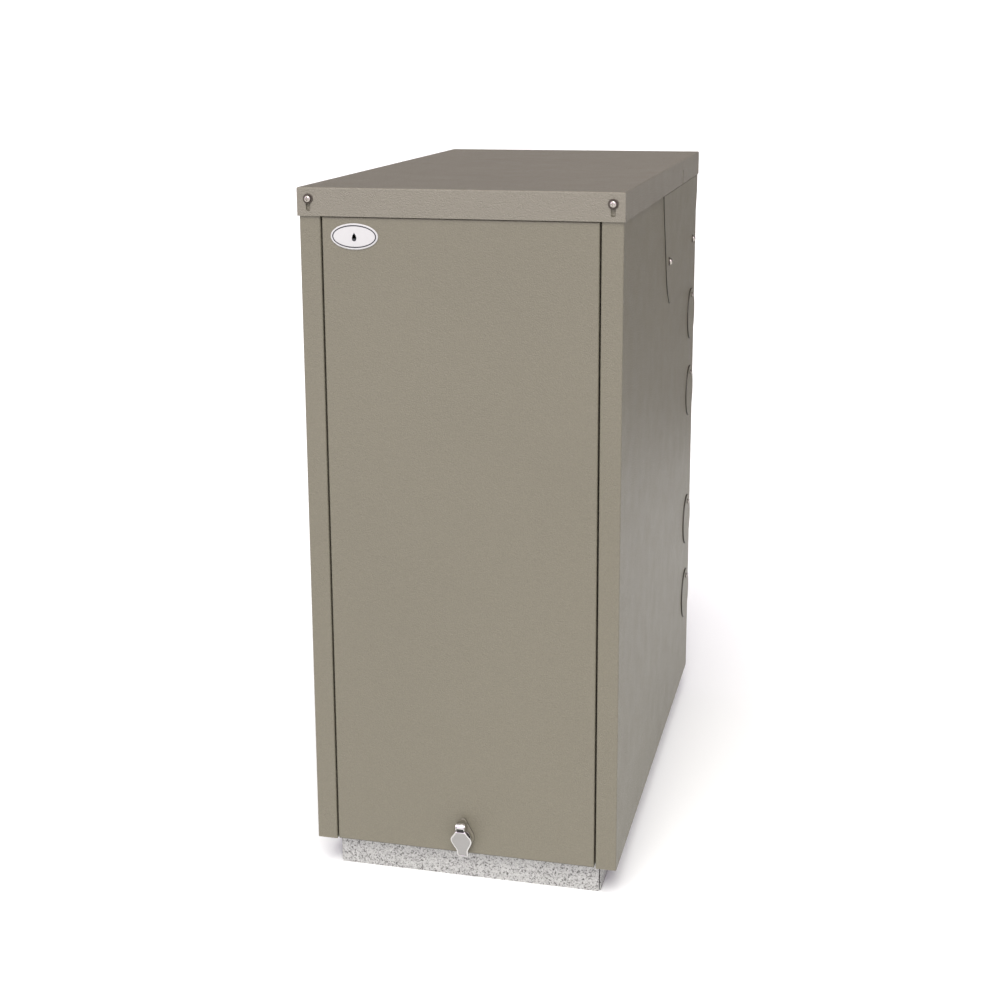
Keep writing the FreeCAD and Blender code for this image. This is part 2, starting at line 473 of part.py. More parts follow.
# ---------------------------------------------------------------- water, condensate and oil pipework
flow = fuse(cyl(PIPE_R, (-110, PY1 + 0.2, 640), (-110, 347.0, 640)), hexa(32, "y", (-110, 640), 288, 306), hexa(32, "y", (-110, 640), PY1 + 0.2, PY1 + 16))
flow = flow.cut(cyl(PIPE_R - 1.0, (-110, PY1 - 1, 640), (-110, 350, 640)))
keep("flow_pipe", flow)
rp = pipe([(-SX - 0.2, 240, 260), (-135, 240, 260), (-135, 347.0, 260)], [26.0], PIPE_R)
rp = fuse(rp, hexa(32, "y", (-135, 260), 288, 306), hexa(32, "x", (240, 260), -SX - 13, -SX - 0.2))
rp = rp.cut(pipe([(-SX + 2, 240, 260), (-135, 240, 260), (-135, 349.0, 260)], [26.0], PIPE_R - 1.0))
keep("return_pipe", rp)

TRAP = (-158.0, -215.0)
cp = pipe([(-SX - 0.4, 262, 172), (TRAP[0], 262, 170), (TRAP[0], TRAP[1] + 26.5, 132)], [30.0], PIPE_R)
cp = cp.cut(pipe([(-SX + 2, 262, 172.06), (TRAP[0], 262, 170), (TRAP[0], TRAP[1] + 20, 131.5)], [30.0], PIPE_R - 1.8))
keep("condensate_pipe", cp)
trap = fuse(cyl(25.5, (TRAP[0], TRAP[1], 58), (TRAP[0], TRAP[1], 150)), cyl(20, (TRAP[0], TRAP[1], 51.6), (TRAP[0], TRAP[1], 60)),
            cyl(22.0, (TRAP[0], TRAP[1], 150), (TRAP[0], TRAP[1], 160)), cyl(10.75, (TRAP[0], TRAP[1] - 20, 118), (TRAP[0], TRAP[1] - 48, 118)))
trap = cut(trap, cyl(23.0, (TRAP[0], TRAP[1], 61), (TRAP[0], TRAP[1], 147)), cyl(19.5, (TRAP[0], TRAP[1], 146), (TRAP[0], TRAP[1], 161)),
           cyl(8.9, (TRAP[0], TRAP[1] - 15, 118), (TRAP[0], TRAP[1] - 50, 118)), cyl(9.2, (TRAP[0], TRAP[1] + 18, 132), (TRAP[0], TRAP[1] + 30, 132)))
keep("condensate_trap", trap)
cap = fuse(cyl(25.5, (TRAP[0], TRAP[1], 150.5), (TRAP[0], TRAP[1], 166)))
for k in range(24):
    a = math.radians(15 * k)
    cap = cap.cut(cyl(1.3, (TRAP[0] + 26.2 * math.cos(a), TRAP[1] + 26.2 * math.sin(a), 150), (TRAP[0] + 26.2 * math.cos(a), TRAP[1] + 26.2 * math.sin(a), 164)))
cap = cut(cap, cyl(22.35, (TRAP[0], TRAP[1], 150), (TRAP[0], TRAP[1], 160.4)))
keep("trap_cap", cap)

dc = fuse(cyl(8, (85, -112, 138), (85, PY0 - 0.2, 138)), hexa(19, "y", (85, 138), -96, -84), cyl(5, (85, -98, 138), (85, -98, 116)), cyl(6.2, (85, -98, 120), (85, -98, 116)))
dc = cut(dc, cyl(4.0, (85, -113, 138), (85, -100, 138)))
keep("drain_cock", dc)
ds = fuse(cyl(3.95, (85, -116, 138), (85, -101, 138)), box(81.8, 88.2, -124, -115.9, 134.8, 141.2))
keep("drain_spindle", ds)

OX, OZ = 140.0, 100.0
valve = fuse(cyl(8.5, (OX, -262, OZ), (OX, -212, OZ)), hexa(19, "y", (OX, OZ), -262, -252), hexa(19, "y", (OX, OZ), -222, -212), cyl(7, (OX, -237, OZ), (OX, -237, OZ + 13)),
             box(OX - 2, OX + 2, -245, -229, FLOOR_Z + T, OZ), box(OX - 14, OX + 14, -247, -227, FLOOR_Z + T, FLOOR_Z + T + 3))
valve = valve.cut(cyl(3.05, (OX, -237, OZ + 4), (OX, -237, OZ + 14)))
keep("oil_valve", valve)
lev = fuse(cyl(3.0, (OX, -237, OZ + 5), (OX, -237, OZ + 17)), cyl(8, (OX, -237, OZ + 13.4), (OX, -237, OZ + 17)),
           rbox(OX - 5.5, OX + 5.5, -237, -190, OZ + 13.8, OZ + 16.6, 5.4, "z"))
keep("valve_lever", lev)
feed = pipe([(OX, -262.2, OZ), (OX, -288, OZ), (OX, -288, FAN_Z), (OX, FAN_Y, FAN_Z), (112.4, FAN_Y, FAN_Z)], [14.0, 14.0, 14.0], 4.0)
inlet = fuse(cyl(OIL_R, (OX, -211.8, OZ), (OX, 347, OZ)), hexa(15, "y", (OX, OZ), 300, 312)).cut(cyl(OIL_R - 0.8, (OX, -213, OZ), (OX, 349, OZ)))
keep("oil_feed_pipe", feed)
keep("oil_inlet_pipe", inlet)

# ---------------------------------------------------------------- burner
gk = rbox(-75, 75, PORT_Y - 3.6, PORT_Y - 0.1, BZ - 75, BZ + 75, 12, "y").cut(cyl(46, (0, -90, BZ), (0, -60, BZ)))
bf = rbox(-75, 75, -84, PORT_Y - 3.8, BZ - 75, BZ + 75, 12, "y").cut(cyl(42.1, (0, -100, BZ), (0, -60, BZ)))
for sx in (-1, 1):
    for sz in (-1, 1):
        h = cyl(4.4, (sx * 60, -100, BZ + sz * 60), (sx * 60, -60, BZ + sz * 60))
        gk, bf = gk.cut(h), bf.cut(h)
keep("flange_gasket", gk)
keep("burner_flange", bf)
bt = fuse(ring(42, 39.6, (0, -84.1, BZ), (0, -6, BZ)))
for k in range(8):
    a = math.radians(45 * k)
    bt = bt.cut(cyl(3.0, (34 * math.cos(a), -14, BZ + 34 * math.sin(a)), (46 * math.cos(a), -14, BZ + 46 * math.sin(a))))
keep("blast_tube", bt)

bb = rbox(-56, 56, -128, -84.3, BZ - 57, BZ + 60, 12, "y")
bb = cut(bb, cyl(39.6, (0, -130, BZ), (0, -80, BZ)), box(-31, 31, -130, -118, 238, 306), cyl(6.05, (30, -130, BZ), (60, -130, BZ)))
bb = cut(bb, cyl(3.1, (35, -106, BZ), (60, -106, BZ)))
keep("burner_body", bb)

nh = fuse(cyl(6, (0, -124, BZ), (0, -24, BZ)), box(4, 38.8, -112, -100, BZ - 5, BZ + 5), hexa(16, "y", (0, BZ), -24, -14), Part.makeCone(7.5, 3.2, 8, V(0, -14, BZ), V(0, 1, 0)))
nh = nh.cut(cyl(3.05, (30, -106, BZ), (60, -106, BZ)))
keep("nozzle_holder", nh)
df = fuse(cyl(37.5, (0, -12.4, BZ), (0, -11.0, BZ)), cyl(12, (0, -40, BZ), (0, -28, BZ)))
for k in range(3):
    a = math.radians(90 + 120 * k)
    df = fuse(df, cyl(1.6, (10.6 * math.cos(a), -29, BZ + 10.6 * math.sin(a)), (24 * math.cos(a), -11.6, BZ + 24 * math.sin(a))))
df = cut(df, cyl(6.05, (0, -42, BZ), (0, -26, BZ)), cyl(11, (0, -15, BZ), (0, -9, BZ)))
for k in range(12):
    a = math.radians(15 + 30 * k)
    c, s = math.cos(a), math.sin(a)
    slot = Part.Face(Part.makePolygon([V(15 * c - 0.8 * s, -15, BZ + 15 * s + 0.8 * c), V(33 * c - 0.8 * s, -15, BZ + 33 * s + 0.8 * c),
                                       V(33 * c + 0.8 * s, -15, BZ + 33 * s - 0.8 * c), V(15 * c + 0.8 * s, -15, BZ + 15 * s - 0.8 * c), V(15 * c - 0.8 * s, -15, BZ + 15 * s + 0.8 * c)])).extrude(V(0, 6, 0))
    df = df.cut(slot)
for sx in (-1, 1):
    df = df.cut(cyl(3.0, (sx * 17, -20, BZ + 17), (sx * 17, -5, BZ + 17)))
keep("diffuser", df)
el = []
for sx in (-1, 1):
    el.append(fuse(cyl(3.6, (sx * 17, -122, BZ + 17), (sx * 17, -18, BZ + 17)), cyl(1.0, (sx * 17, -18.5, BZ + 17), (sx * 17, -5, BZ + 17)),
                   cyl(1.0, (sx * 17, -5.4, BZ + 17), (sx * 2.2, -2, BZ + 6)), Part.makeSphere(1.0, V(sx * 17, -5.2, BZ + 17))))
keep("electrodes", Part.makeCompound(el))

fh = fuse(cyl(74, (-34, FAN_Y, FAN_Z), (34, FAN_Y, FAN_Z)).cut(box(-40, 40, -128.2, -120, FAN_Z - 80, FAN_Z + 80)), box(-34, 34, FAN_Y, -128.2, FAN_Z, FAN_Z + 74))
fhi = fuse(cyl(71, (-31, FAN_Y, FAN_Z), (31, FAN_Y, FAN_Z)), box(-31, 31, FAN_Y, -127, FAN_Z + 3, FAN_Z + 71))
fh = cut(fh, fhi, cyl(9, (-40, FAN_Y, FAN_Z), (-30, FAN_Y, FAN_Z)), cyl(46, (30, FAN_Y, FAN_Z), (40, FAN_Y, FAN_Z)))
keep("fan_housing", fh)

imp = [cyl(61, (-27, FAN_Y, FAN_Z), (-25, FAN_Y, FAN_Z)), ring(61, 49, (23, FAN_Y, FAN_Z), (25, FAN_Y, FAN_Z)), cyl(11, (-27, FAN_Y, FAN_Z), (6, FAN_Y, FAN_Z))]
for k in range(24):
    b = box(-25.5, 23.5, FAN_Y + 49.5, FAN_Y + 60.5, FAN_Z - 0.7, FAN_Z + 0.7)
    b.rotate(V(0, FAN_Y + 55, FAN_Z), V(1, 0, 0), 32)
    b.rotate(V(0, FAN_Y, FAN_Z), V(1, 0, 0), 15 * k)
    imp.append(b)
imp = fuse(*imp).cut(cyl(4.02, (-40, FAN_Y, FAN_Z), (20, FAN_Y, FAN_Z)))
keep("fan_impeller", imp)
keep("motor_shaft", cyl(4.0, (-96, FAN_Y, FAN_Z), (90, FAN_Y, FAN_Z)))
keep("pump_coupling", ring(9.5, 4.02, (40, FAN_Y, FAN_Z), (64, FAN_Y, FAN_Z)).cut(box(51, 53, FAN_Y - 12, FAN_Y - 5, FAN_Z - 1.5, FAN_Z + 1.5)))

mo = [cyl(46, (-110, FAN_Y, FAN_Z), (-40, FAN_Y, FAN_Z)), cyl(56, (-40.2, FAN_Y, FAN_Z), (-34.2, FAN_Y, FAN_Z)), cyl(38, (-116, FAN_Y, FAN_Z), (-109, FAN_Y, FAN_Z))]
for k in range(10):
    mo.append(ring(48.5, 45, (-104 + 6 * k, FAN_Y, FAN_Z), (-101 + 6 * k, FAN_Y, FAN_Z)))
mo.append(rbox(-98, -56, FAN_Y - 20, FAN_Y + 20, FAN_Z - 72, FAN_Z - 40, 5, "x"))
mo = fuse(*mo).cut(cyl(4.06, (-98, FAN_Y, FAN_Z), (-30, FAN_Y, FAN_Z)))
keep("motor", mo)

ai = rbox(34.2, 70, -264, -132, 163, 305, 10, "x")
aii = rbox(36.2, 68, -262, -134, 165, 303, 8, "x")
ai = cut(ai, aii, cyl(45, (30, FAN_Y, FAN_Z), (37, FAN_Y, FAN_Z)), cyl(11, (66, FAN_Y, FAN_Z), (72, FAN_Y, FAN_Z)), box(40, 64, -254, -176, 160, 167))
ai = fuse(ai, box(38, 40, -256, -174, 150, 168), box(64, 66, -256, -174, 150, 168), box(38, 66, -256, -254, 150, 168), box(38, 66, -176, -174, 150, 168))
DAMP = (-215.0, 157.0)
ai = cut(ai, cyl(2.05, (30, DAMP[0], DAMP[1]), (75, DAMP[0], DAMP[1])))
keep("air_intake", ai)
dm = fuse(box(41, 63, DAMP[0] - 37.4, DAMP[0] + 37.4, DAMP[1] - 0.75, DAMP[1] + 0.75), cyl(2.0, (38.5, DAMP[0], DAMP[1]), (76, DAMP[0], DAMP[1])), cyl(7, (70.5, DAMP[0], DAMP[1]), (74, DAMP[0], DAMP[1])),
          box(70.5, 73.5, DAMP[0] - 2, DAMP[0] + 18, DAMP[1] - 2, DAMP[1] + 2))
keep("air_damper", dm)

op = rbox(70.2, 112, FAN_Y - 27, FAN_Y + 27, FAN_Z - 27, FAN_Z + 27, 9, "x")
op = fuse(op, cyl(18, (112, FAN_Y, FAN_Z - 2), (114, FAN_Y, FAN_Z - 2)).cut(cyl(4.3, (111, FAN_Y, FAN_Z), (116, FAN_Y, FAN_Z))), hexa(14, "y", (92, FAN_Z + 15), FAN_Y + 26, FAN_Y + 34),
          hexa(12, "y", (92, FAN_Z - 12), FAN_Y - 36, FAN_Y - 26))
op = cut(op, cyl(4.06, (69, FAN_Y, FAN_Z), (94, FAN_Y, FAN_Z)), cyl(4.3, (108, FAN_Y, FAN_Z), (116, FAN_Y, FAN_Z)))
keep("oil_pump", op)
keep("solenoid_coil", fuse(rbox(76, 108, FAN_Y - 16, FAN_Y + 16, FAN_Z + 27.2, FAN_Z + 62, 5, "z"), cyl(7, (92, FAN_Y, FAN_Z + 60), (92, FAN_Y, FAN_Z + 67)), hexa(11, "z", (92, FAN_Y), FAN_Z + 66, FAN_Z + 71)))
nl = pipe([(92, FAN_Y + 34.3, BZ), (92, -106, BZ), (39.6, -106, BZ)], [18.0], 3.0)
keep("nozzle_line", nl)

cb = rbox(-50, 50, -270, -152, 310, 374, 8, "z")
cb = fuse(cb, rbox(-44, 44, -264, -158, 373, 378, 6, "z"), box(-46, 46, -150.5, -146, 312, 330).fuse(box(-46, 46, -152.5, -146, 312, 318)))
cb = cut(cb, cyl(8.4, (24, -271, 344), (24, -260, 344)), cyl(3.05, (24, -271, 344), (24, -252, 344)))
for k in range(4):
    cb = cut(cb, box(-40, -6, -271, -269, 325 + 10 * k, 328 + 10 * k))
keep("control_box", cb)
rb = fuse(cyl(8.0, (24, -274.5, 344), (24, -263.6, 344)), cyl(3.0, (24, -264, 344), (24, -256, 344)))
rb = rb.makeFillet(1.4, [e for e in rb.Edges if abs(e.CenterOfMass.y + 274.5) < 1e-3 and len(e.Vertexes) == 1])
keep("reset_button", rb)

# ---------------------------------------------------------------- control panel
cpn = box(-188.6, 188.6, -322, -224, 738, 822).cut(box(-187.1, 187.1, -320.5, -220, 739.5, 820.5))
cpn = fil(cpn, 2.0, "x", [(-322, 738), (-322, 822)])
KN, SW, LR = (-96.0, 780.0), (104.0, 780.0), (-40.0, 780.0)
cpn = cut(cpn, cyl(3.05, (KN[0], -330, KN[1]), (KN[0], -318, KN[1])), box(SW[0] - 13, SW[0] + 13, -325, -319, SW[1] - 8, SW[1] + 8), cyl(5.05, (LR[0], -330, LR[1]), (LR[0], -318, LR[1])))
bez = box(SW[0] - 15.5, SW[0] + 15.5, -324, -322, SW[1] - 10.5, SW[1] + 10.5).cut(box(SW[0] - 13, SW[0] + 13, -325, -321, SW[1] - 8, SW[1] + 8))
dial = ring(29, 22, (KN[0], -322.6, KN[1]), (KN[0], -321.9, KN[1]))
blank = rbox(-5, 65, -323.2, -321.9, 752, 808, 4, "y")
ferr = ring(10, 5.3, (LR[0], -324.5, LR[1]), (LR[0], -321.9, LR[1]))
cpn = fuse(cpn, bez, dial, blank, ferr)
keep("control_panel", cpn)
kn = fuse(cyl(19, (KN[0], -338.5, KN[1]), (KN[0], -323.2, KN[1])))
for k in range(18):
    a = math.radians(20 * k)
    kn = kn.cut(cyl(1.6, (KN[0] + 19.9 * math.cos(a), -340, KN[1] + 19.9 * math.sin(a)), (KN[0] + 19.9 * math.cos(a), -326, KN[1] + 19.9 * math.sin(a))))
kn = fuse(kn, cyl(3.0, (KN[0], -323.6, KN[1]), (KN[0], -308, KN[1])), box(KN[0] - 1.1, KN[0] + 1.1, -339.3, -338, KN[1] + 4, KN[1] + 17))
keep("thermostat_knob", kn)
SWP = (-320.0, SW[1])
rk = prism([(-326.2, SW[1] + 6.6), (-324.2, SW[1]), (-323.2, SW[1] - 7.4), (-318.4, SW[1] - 7.4), (-318.4, SW[1] + 7.4)], "x", SW[0] - 12.6, SW[0] + 12.6)
keep("power_switch", rk)
lr = fuse(cyl(5.0, (LR[0], -328.5, LR[1]), (LR[0], -316, LR[1])))
lr = lr.makeFillet(1.0, [e for e in lr.Edges if abs(e.CenterOfMass.y + 328.5) < 1e-3 and len(e.Vertexes) == 1])
keep("overheat_reset", lr)

# ---------------------------------------------------------------- export
total = 0.0
for name, shape in PARTS.items():
    solids = shape.Solids
    ok = all(s.isValid() and s.Volume > 0 for s in solids) and len(solids) > 0
    out = solids[0] if len(solids) == 1 else Part.makeCompound(solids)
    out.exportStep("parts/%s.step" % name)
    b = out.BoundBox
    print("%-26s solids %2d valid %s vol %.0f  x %.1f..%.1f y %.1f..%.1f z %.1f..%.1f" % (name, len(solids), ok, out.Volume, b.XMin, b.XMax, b.YMin, b.YMax, b.ZMin, b.ZMax))
print(len(PARTS), "nodes")
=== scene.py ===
import bpy, bmesh, json, math
from mathutils import Vector, Matrix


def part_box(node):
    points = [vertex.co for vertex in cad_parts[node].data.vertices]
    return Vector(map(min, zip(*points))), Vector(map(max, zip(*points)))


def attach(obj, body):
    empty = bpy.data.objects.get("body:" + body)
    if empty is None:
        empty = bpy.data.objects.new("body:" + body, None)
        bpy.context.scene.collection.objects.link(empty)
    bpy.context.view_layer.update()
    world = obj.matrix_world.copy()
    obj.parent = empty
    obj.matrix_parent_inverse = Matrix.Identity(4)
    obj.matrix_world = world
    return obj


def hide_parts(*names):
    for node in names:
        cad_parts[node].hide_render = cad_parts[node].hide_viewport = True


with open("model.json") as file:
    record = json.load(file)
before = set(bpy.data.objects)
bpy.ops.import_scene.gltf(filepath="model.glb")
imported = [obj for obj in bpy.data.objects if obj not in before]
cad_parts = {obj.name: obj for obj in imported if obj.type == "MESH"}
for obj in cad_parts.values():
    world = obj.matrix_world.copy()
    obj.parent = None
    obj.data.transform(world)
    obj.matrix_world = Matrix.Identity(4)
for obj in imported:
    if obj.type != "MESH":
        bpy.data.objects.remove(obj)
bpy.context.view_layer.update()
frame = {"nodes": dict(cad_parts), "record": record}
N = frame["nodes"]
scene = bpy.context.scene

# ---------------------------------------------------------------- camera
cam_data = bpy.data.cameras.new("camera")
cam_data.sensor_width = 36.0
cam_data.lens = 57.79447
cam_data.shift_x = 0.01387
cam_data.shift_y = -0.10
cam_data.clip_start, cam_data.clip_end = 0.05, 100.0
cam = bpy.data.objects.new("camera", cam_data)
scene.collection.objects.link(cam)
cam.matrix_world = (Matrix.Translation((0.47358, -2.11509, 1.0252))
                    @ Matrix.Rotation(math.radians(14.02725), 4, "Z")
                    @ Matrix.Rotation(math.radians(77.513), 4, "X")
                    @ Matrix.Rotation(math.radians(-0.34087), 4, "Z"))
scene.camera = cam

# ---------------------------------------------------------------- shader helpers


class Nodes:
    """Short names for building a material's node tree."""

    def __init__(self, name):
        self.m = bpy.data.materials.new(name)
        self.m.use_nodes = True
        self.t = self.m.node_tree
        self.t.nodes.clear()
        self.out = self.add("ShaderNodeOutputMaterial")
        self.b = self.add("ShaderNodeBsdfPrincipled")
        self.link(self.b.outputs[0], self.out.inputs["Surface"])
        self.co = self.add("ShaderNodeTexCoord").outputs["Object"]

    def add(self, kind, **props):
        n = self.t.nodes.new(kind)
        for k, v in props.items():
            setattr(n, k, v)
        return n

    def link(self, a, b):
        self.t.links.new(a, b)

    def put(self, sock, value):
        if isinstance(value, bpy.types.NodeSocket):
            self.link(value, sock)
        elif isinstance(value, (tuple, list)) and len(value) == 3 and sock.type == "RGBA":
            sock.default_value = (*value, 1.0)
        else:
            sock.default_value = value

    def mapping(self, scale=(1, 1, 1), loc=(0, 0, 0), rot=(0, 0, 0), src=None):
        n = self.add("ShaderNodeMapping")
        self.link(src or self.co, n.inputs["Vector"])
        n.inputs["Scale"].default_value = scale
        n.inputs["Location"].default_value = loc
        n.inputs["Rotation"].default_value = rot
        return n.outputs[0]

    def noise(self, scale, detail=2.0, rough=0.5, vec=None, dist=0.0, color=False):
        n = self.add("ShaderNodeTexNoise")
        self.link(vec or self.co, n.inputs["Vector"])
        n.inputs["Scale"].default_value = scale
        n.inputs["Detail"].default_value = detail
        n.inputs["Roughness"].default_value = rough
        n.inputs["Distortion"].default_value = dist
        return n.outputs["Color" if color else "Fac"]

    def voronoi(self, scale, feature="F1", out="Distance", vec=None, smooth=None, random=1.0):
        n = self.add("ShaderNodeTexVoronoi", feature=feature)
        self.link(vec or self.co, n.inputs["Vector"])
        n.inputs["Scale"].default_value = scale
        n.inputs["Randomness"].default_value = random
        if smooth is not None and "Smoothness" in n.inputs:
            n.inputs["Smoothness"].default_value = smooth
        return n.outputs[out]

    def math(self, op, a, b=None, c=None, clamp=False):
        n = self.add("ShaderNodeMath", operation=op)
        n.use_clamp = clamp
        self.put(n.inputs[0], a)
        if b is not None:
            self.put(n.inputs[1], b)
        if c is not None:
            self.put(n.inputs[2], c)
        return n.outputs[0]

    def ramp(self, fac, stops, interp="LINEAR"):
        n = self.add("ShaderNodeValToRGB")
        self.link(fac, n.inputs[0])
        r = n.color_ramp
        r.interpolation = interp
        while len(r.elements) < len(stops):
            r.elements.new(0.5)
        for e, (p, c) in zip(r.elements, stops):
            e.position = p
            e.color = (*c, 1.0) if isinstance(c, (tuple, list)) else (c, c, c, 1.0)
        return n.outputs[0]

    def range(self, v, a, b, c, d, smooth=False):
        n = self.add("ShaderNodeMapRange")
        if smooth:
            n.interpolation_type = "SMOOTHSTEP"
        self.put(n.inputs["Value"], v)
        for k, x in zip(("From Min", "From Max", "To Min", "To Max"), (a, b, c, d)):
            n.inputs[k].default_value = x
        return n.outputs[0]

    def mix(self, fac, a, b, mode="MIX"):
        n = self.add("ShaderNodeMix", data_type="RGBA", blend_type=mode)
        self.put(n.inputs[0], fac)
        self.put(n.inputs[6], a)
        self.put(n.inputs[7], b)
        return n.outputs[2]

    def bump(self, height, strength, dist, normal=None):
        n = self.add("ShaderNodeBump")
        n.inputs["Strength"].default_value = strength
        n.inputs["Distance"].default_value = dist
        self.link(height, n.inputs["Height"])
        if normal is not None:
            self.link(normal, n.inputs["Normal"])
        return n.outputs[0]

    def sep(self, src=None):
        n = self.add("ShaderNodeSeparateXYZ")
        self.link(src or self.co, n.inputs[0])
        return n.outputs

    def set(self, **kw):
        names = {"color": "Base Color", "rough": "Roughness", "metal": "Metallic", "normal": "Normal", "ior": "IOR",
                 "coat": "Coat Weight", "coat_rough": "Coat Roughness", "sheen": "Sheen Weight", "spec": "Specular IOR Level",
                 "trans": "Transmission Weight", "aniso": "Anisotropic"}
        for k, v in kw.items():
            self.put(self.b.inputs[names[k]], v)
        return self.m


def srgb(r, g, b):
    def f(c):
        c /= 255.0
        return c / 12.92 if c <= 0.04045 else ((c + 0.055) / 1.055) ** 2.4
    return (f(r), f(g), f(b))


def powder_coat(name, base, rough=0.46, grain=1.0, spec=0.5, press=None, rim=None):
    """Leather-grain powder coat: small rounded lumps of uneven size under a satin film.
    press = (x, z, radius) adds the shallow dish that the press leaves round a punched hole.
    Undersides and lower folds get painted shade, and rim = (axis, level, tone) paints shade on a plate's edge all
    round."""
    k = Nodes(name)
    facing = k.add("ShaderNodeTexCoord").outputs["Normal"]
    nrm = k.sep(facing)
    warp = k.mix(0.0012, k.co, k.noise(300.0, 2.0, 0.5, color=True), "ADD")
    lumps = k.voronoi(640.0, "SMOOTH_F1", smooth=0.65, vec=warp)
    small = k.voronoi(1500.0, "SMOOTH_F1", smooth=0.5)
    fine = k.noise(2600.0, 2.0, 0.5)
    wide = k.noise(210.0, 2.0, 0.5)
    h = k.math("ADD", k.math("MULTIPLY", lumps, -1.05), k.math("ADD", k.math("MULTIPLY", small, -0.35), k.math("ADD", k.math("MULTIPLY", fine, 0.18), k.math("MULTIPLY", wide, 0.75))))
    n = k.bump(h, 0.62 * grain, 0.0006)
    if press:
        sp = k.sep()
        dx, dz = k.math("SUBTRACT", sp[0], press[0]), k.math("SUBTRACT", sp[2], press[1])
        r = k.math("SQRT", k.math("ADD", k.math("MULTIPLY", dx, dx), k.math("MULTIPLY", dz, dz)))
        n = k.bump(k.range(k.math("ADD", r, k.math("MULTIPLY", k.noise(55.0, 1.0), 0.006)), press[2] * 0.45, press[2], 0.0, 1.0, True), 0.5, 0.0011, n)
    tone = k.noise(3.2, 2.0, 0.5)
    speck = k.noise(760.0, 2.0, 0.6)
    c1 = k.mix(k.range(tone, 0.35, 0.65, 0.0, 1.0), tuple(c * 0.98 for c in base), tuple(min(1.0, c * 1.02) for c in base))
    c2 = k.mix(k.range(speck, 0.36, 0.62, 0.0, 0.42), c1, tuple(c * 0.78 for c in base))
    # painted highlight: the crown of each lump is mixed towards a lighter copy of the paint
    c3 = k.mix(k.range(lumps, 0.10, 0.42, 0.30, 0.0), c2, tuple(min(1.0, c * 1.35) for c in base))
    # painted shade: faces that turn downwards, such as the lower folds, are mixed towards near-black
    c3 = k.mix(k.range(nrm[2], -0.62, -0.12, 0.72, 0.0, True), c3, (0.030, 0.027, 0.021))
    # painted shade: faces on the plate's edge, turned away from the given axis, are mixed towards near-black
    if rim:
        away = k.math("ABSOLUTE", nrm[rim[0]])
        c3 = k.mix(k.range(away, rim[1], rim[1] + 0.22, rim[2], 0.0, True), c3, (0.020, 0.017, 0.013))
    r = k.range(k.math("ADD", k.math("MULTIPLY", k.noise(26.0, 3.0), 0.4), k.math("MULTIPLY", speck, 0.6)), 0.3, 0.7, rough - 0.06, rough + 0.07)
    return k.set(color=c3, rough=r, normal=n, spec=spec)


def screw_steel(name, mode):
    """Plated screw: crown in the plating's colour, flange and root darkened as painted shade. mode says which way the
    heads face.
    """
    k = Nodes(name)
    g = k.noise(1400.0, 3.0, 0.6)
    sp = k.sep()
    ax = k.math("ABSOLUTE", sp[0])
    # painted shade: a mask that darkens the rim of each lid screw head and, on the side screws, the part of the head
    # next to the panel
    if mode == "lid":
        dx, dz = k.math("SUBTRACT", ax, 0.1793), k.math("SUBTRACT", sp[2], 0.8516)
        d = k.math("SQRT", k.math("ADD", k.math("MULTIPLY", dx, dx), k.math("MULTIPLY", dz, dz)))
        screw_shade = k.range(d, 0.0031, 0.0043, 0.0, 1.0, True)
    else:
        side = k.range(ax, 0.1941, 0.1952, 1.0, 0.0, True)
        screw_shade = k.math("MULTIPLY", side, k.range(sp[1], 0.330, 0.340, 1.0, 0.25))
    bright = k.mix(k.range(g, 0.3, 0.7, 0.0, 1.0), (0.36, 0.335, 0.295), (0.50, 0.47, 0.42))
    # near-black colour for the painted shade on flange and root
    dark = k.mix(k.range(g, 0.3, 0.7, 0.0, 1.0), (0.060, 0.052, 0.042), (0.105, 0.092, 0.076))
    r = k.math("ADD", k.range(g, 0.3, 0.7, 0.17, 0.26), k.math("MULTIPLY", screw_shade, 0.22))
    return k.set(color=k.mix(screw_shade, bright, dark), rough=r, metal=0.9, normal=k.bump(g, 0.10, 0.00008))


def galvanised(name):
    """Hot-dip zinc: minute spangle, each crystal at its own brightness, under a crisp dark fleck."""
    k = Nodes(name)
    warp = k.mix(0.0010, k.co, k.noise(420.0, 2.0, 0.5, color=True), "ADD")
    parts = []
    for scale in (430.0, 760.0):
        sc = k.add("ShaderNodeSeparateColor")
        k.link(k.voronoi(scale, out="Color", vec=warp), sc.inputs[0])
        parts.append(sc.outputs)
    fleck = k.noise(470.0, 1.5, 0.5, dist=0.6)
    fine = k.noise(1300.0, 2.0, 0.6)
    wide = k.noise(14.0, 2.0, 0.5)
    v = k.math("ADD", k.math("MULTIPLY", parts[0][0], 0.22), k.math("ADD", k.math("MULTIPLY", parts[1][1], 0.22), k.math("ADD", k.math("MULTIPLY", fleck, 0.72), k.math("ADD", k.math("MULTIPLY", fine, 0.16), k.math("MULTIPLY", wide, 0.06)))))
    col = k.ramp(v, [(0.42, (0.066, 0.066, 0.060)), (0.55, (0.19, 0.190, 0.178)), (0.62, (0.34, 0.345, 0.325)), (0.74, (0.43, 0.437, 0.412)), (0.90, (0.51, 0.518, 0.49))])
    r = k.range(k.math("ADD", k.math("MULTIPLY", parts[0][1], 0.5), k.math("MULTIPLY", fine, 0.5)), 0.2, 0.8, 0.40, 0.62)
    n = k.bump(k.math("ADD", k.math("MULTIPLY", parts[1][2], 0.35), k.math("MULTIPLY", fleck, 0.8)), 0.4, 0.00022)
    return k.set(color=col, rough=r, metal=0.40, normal=n)


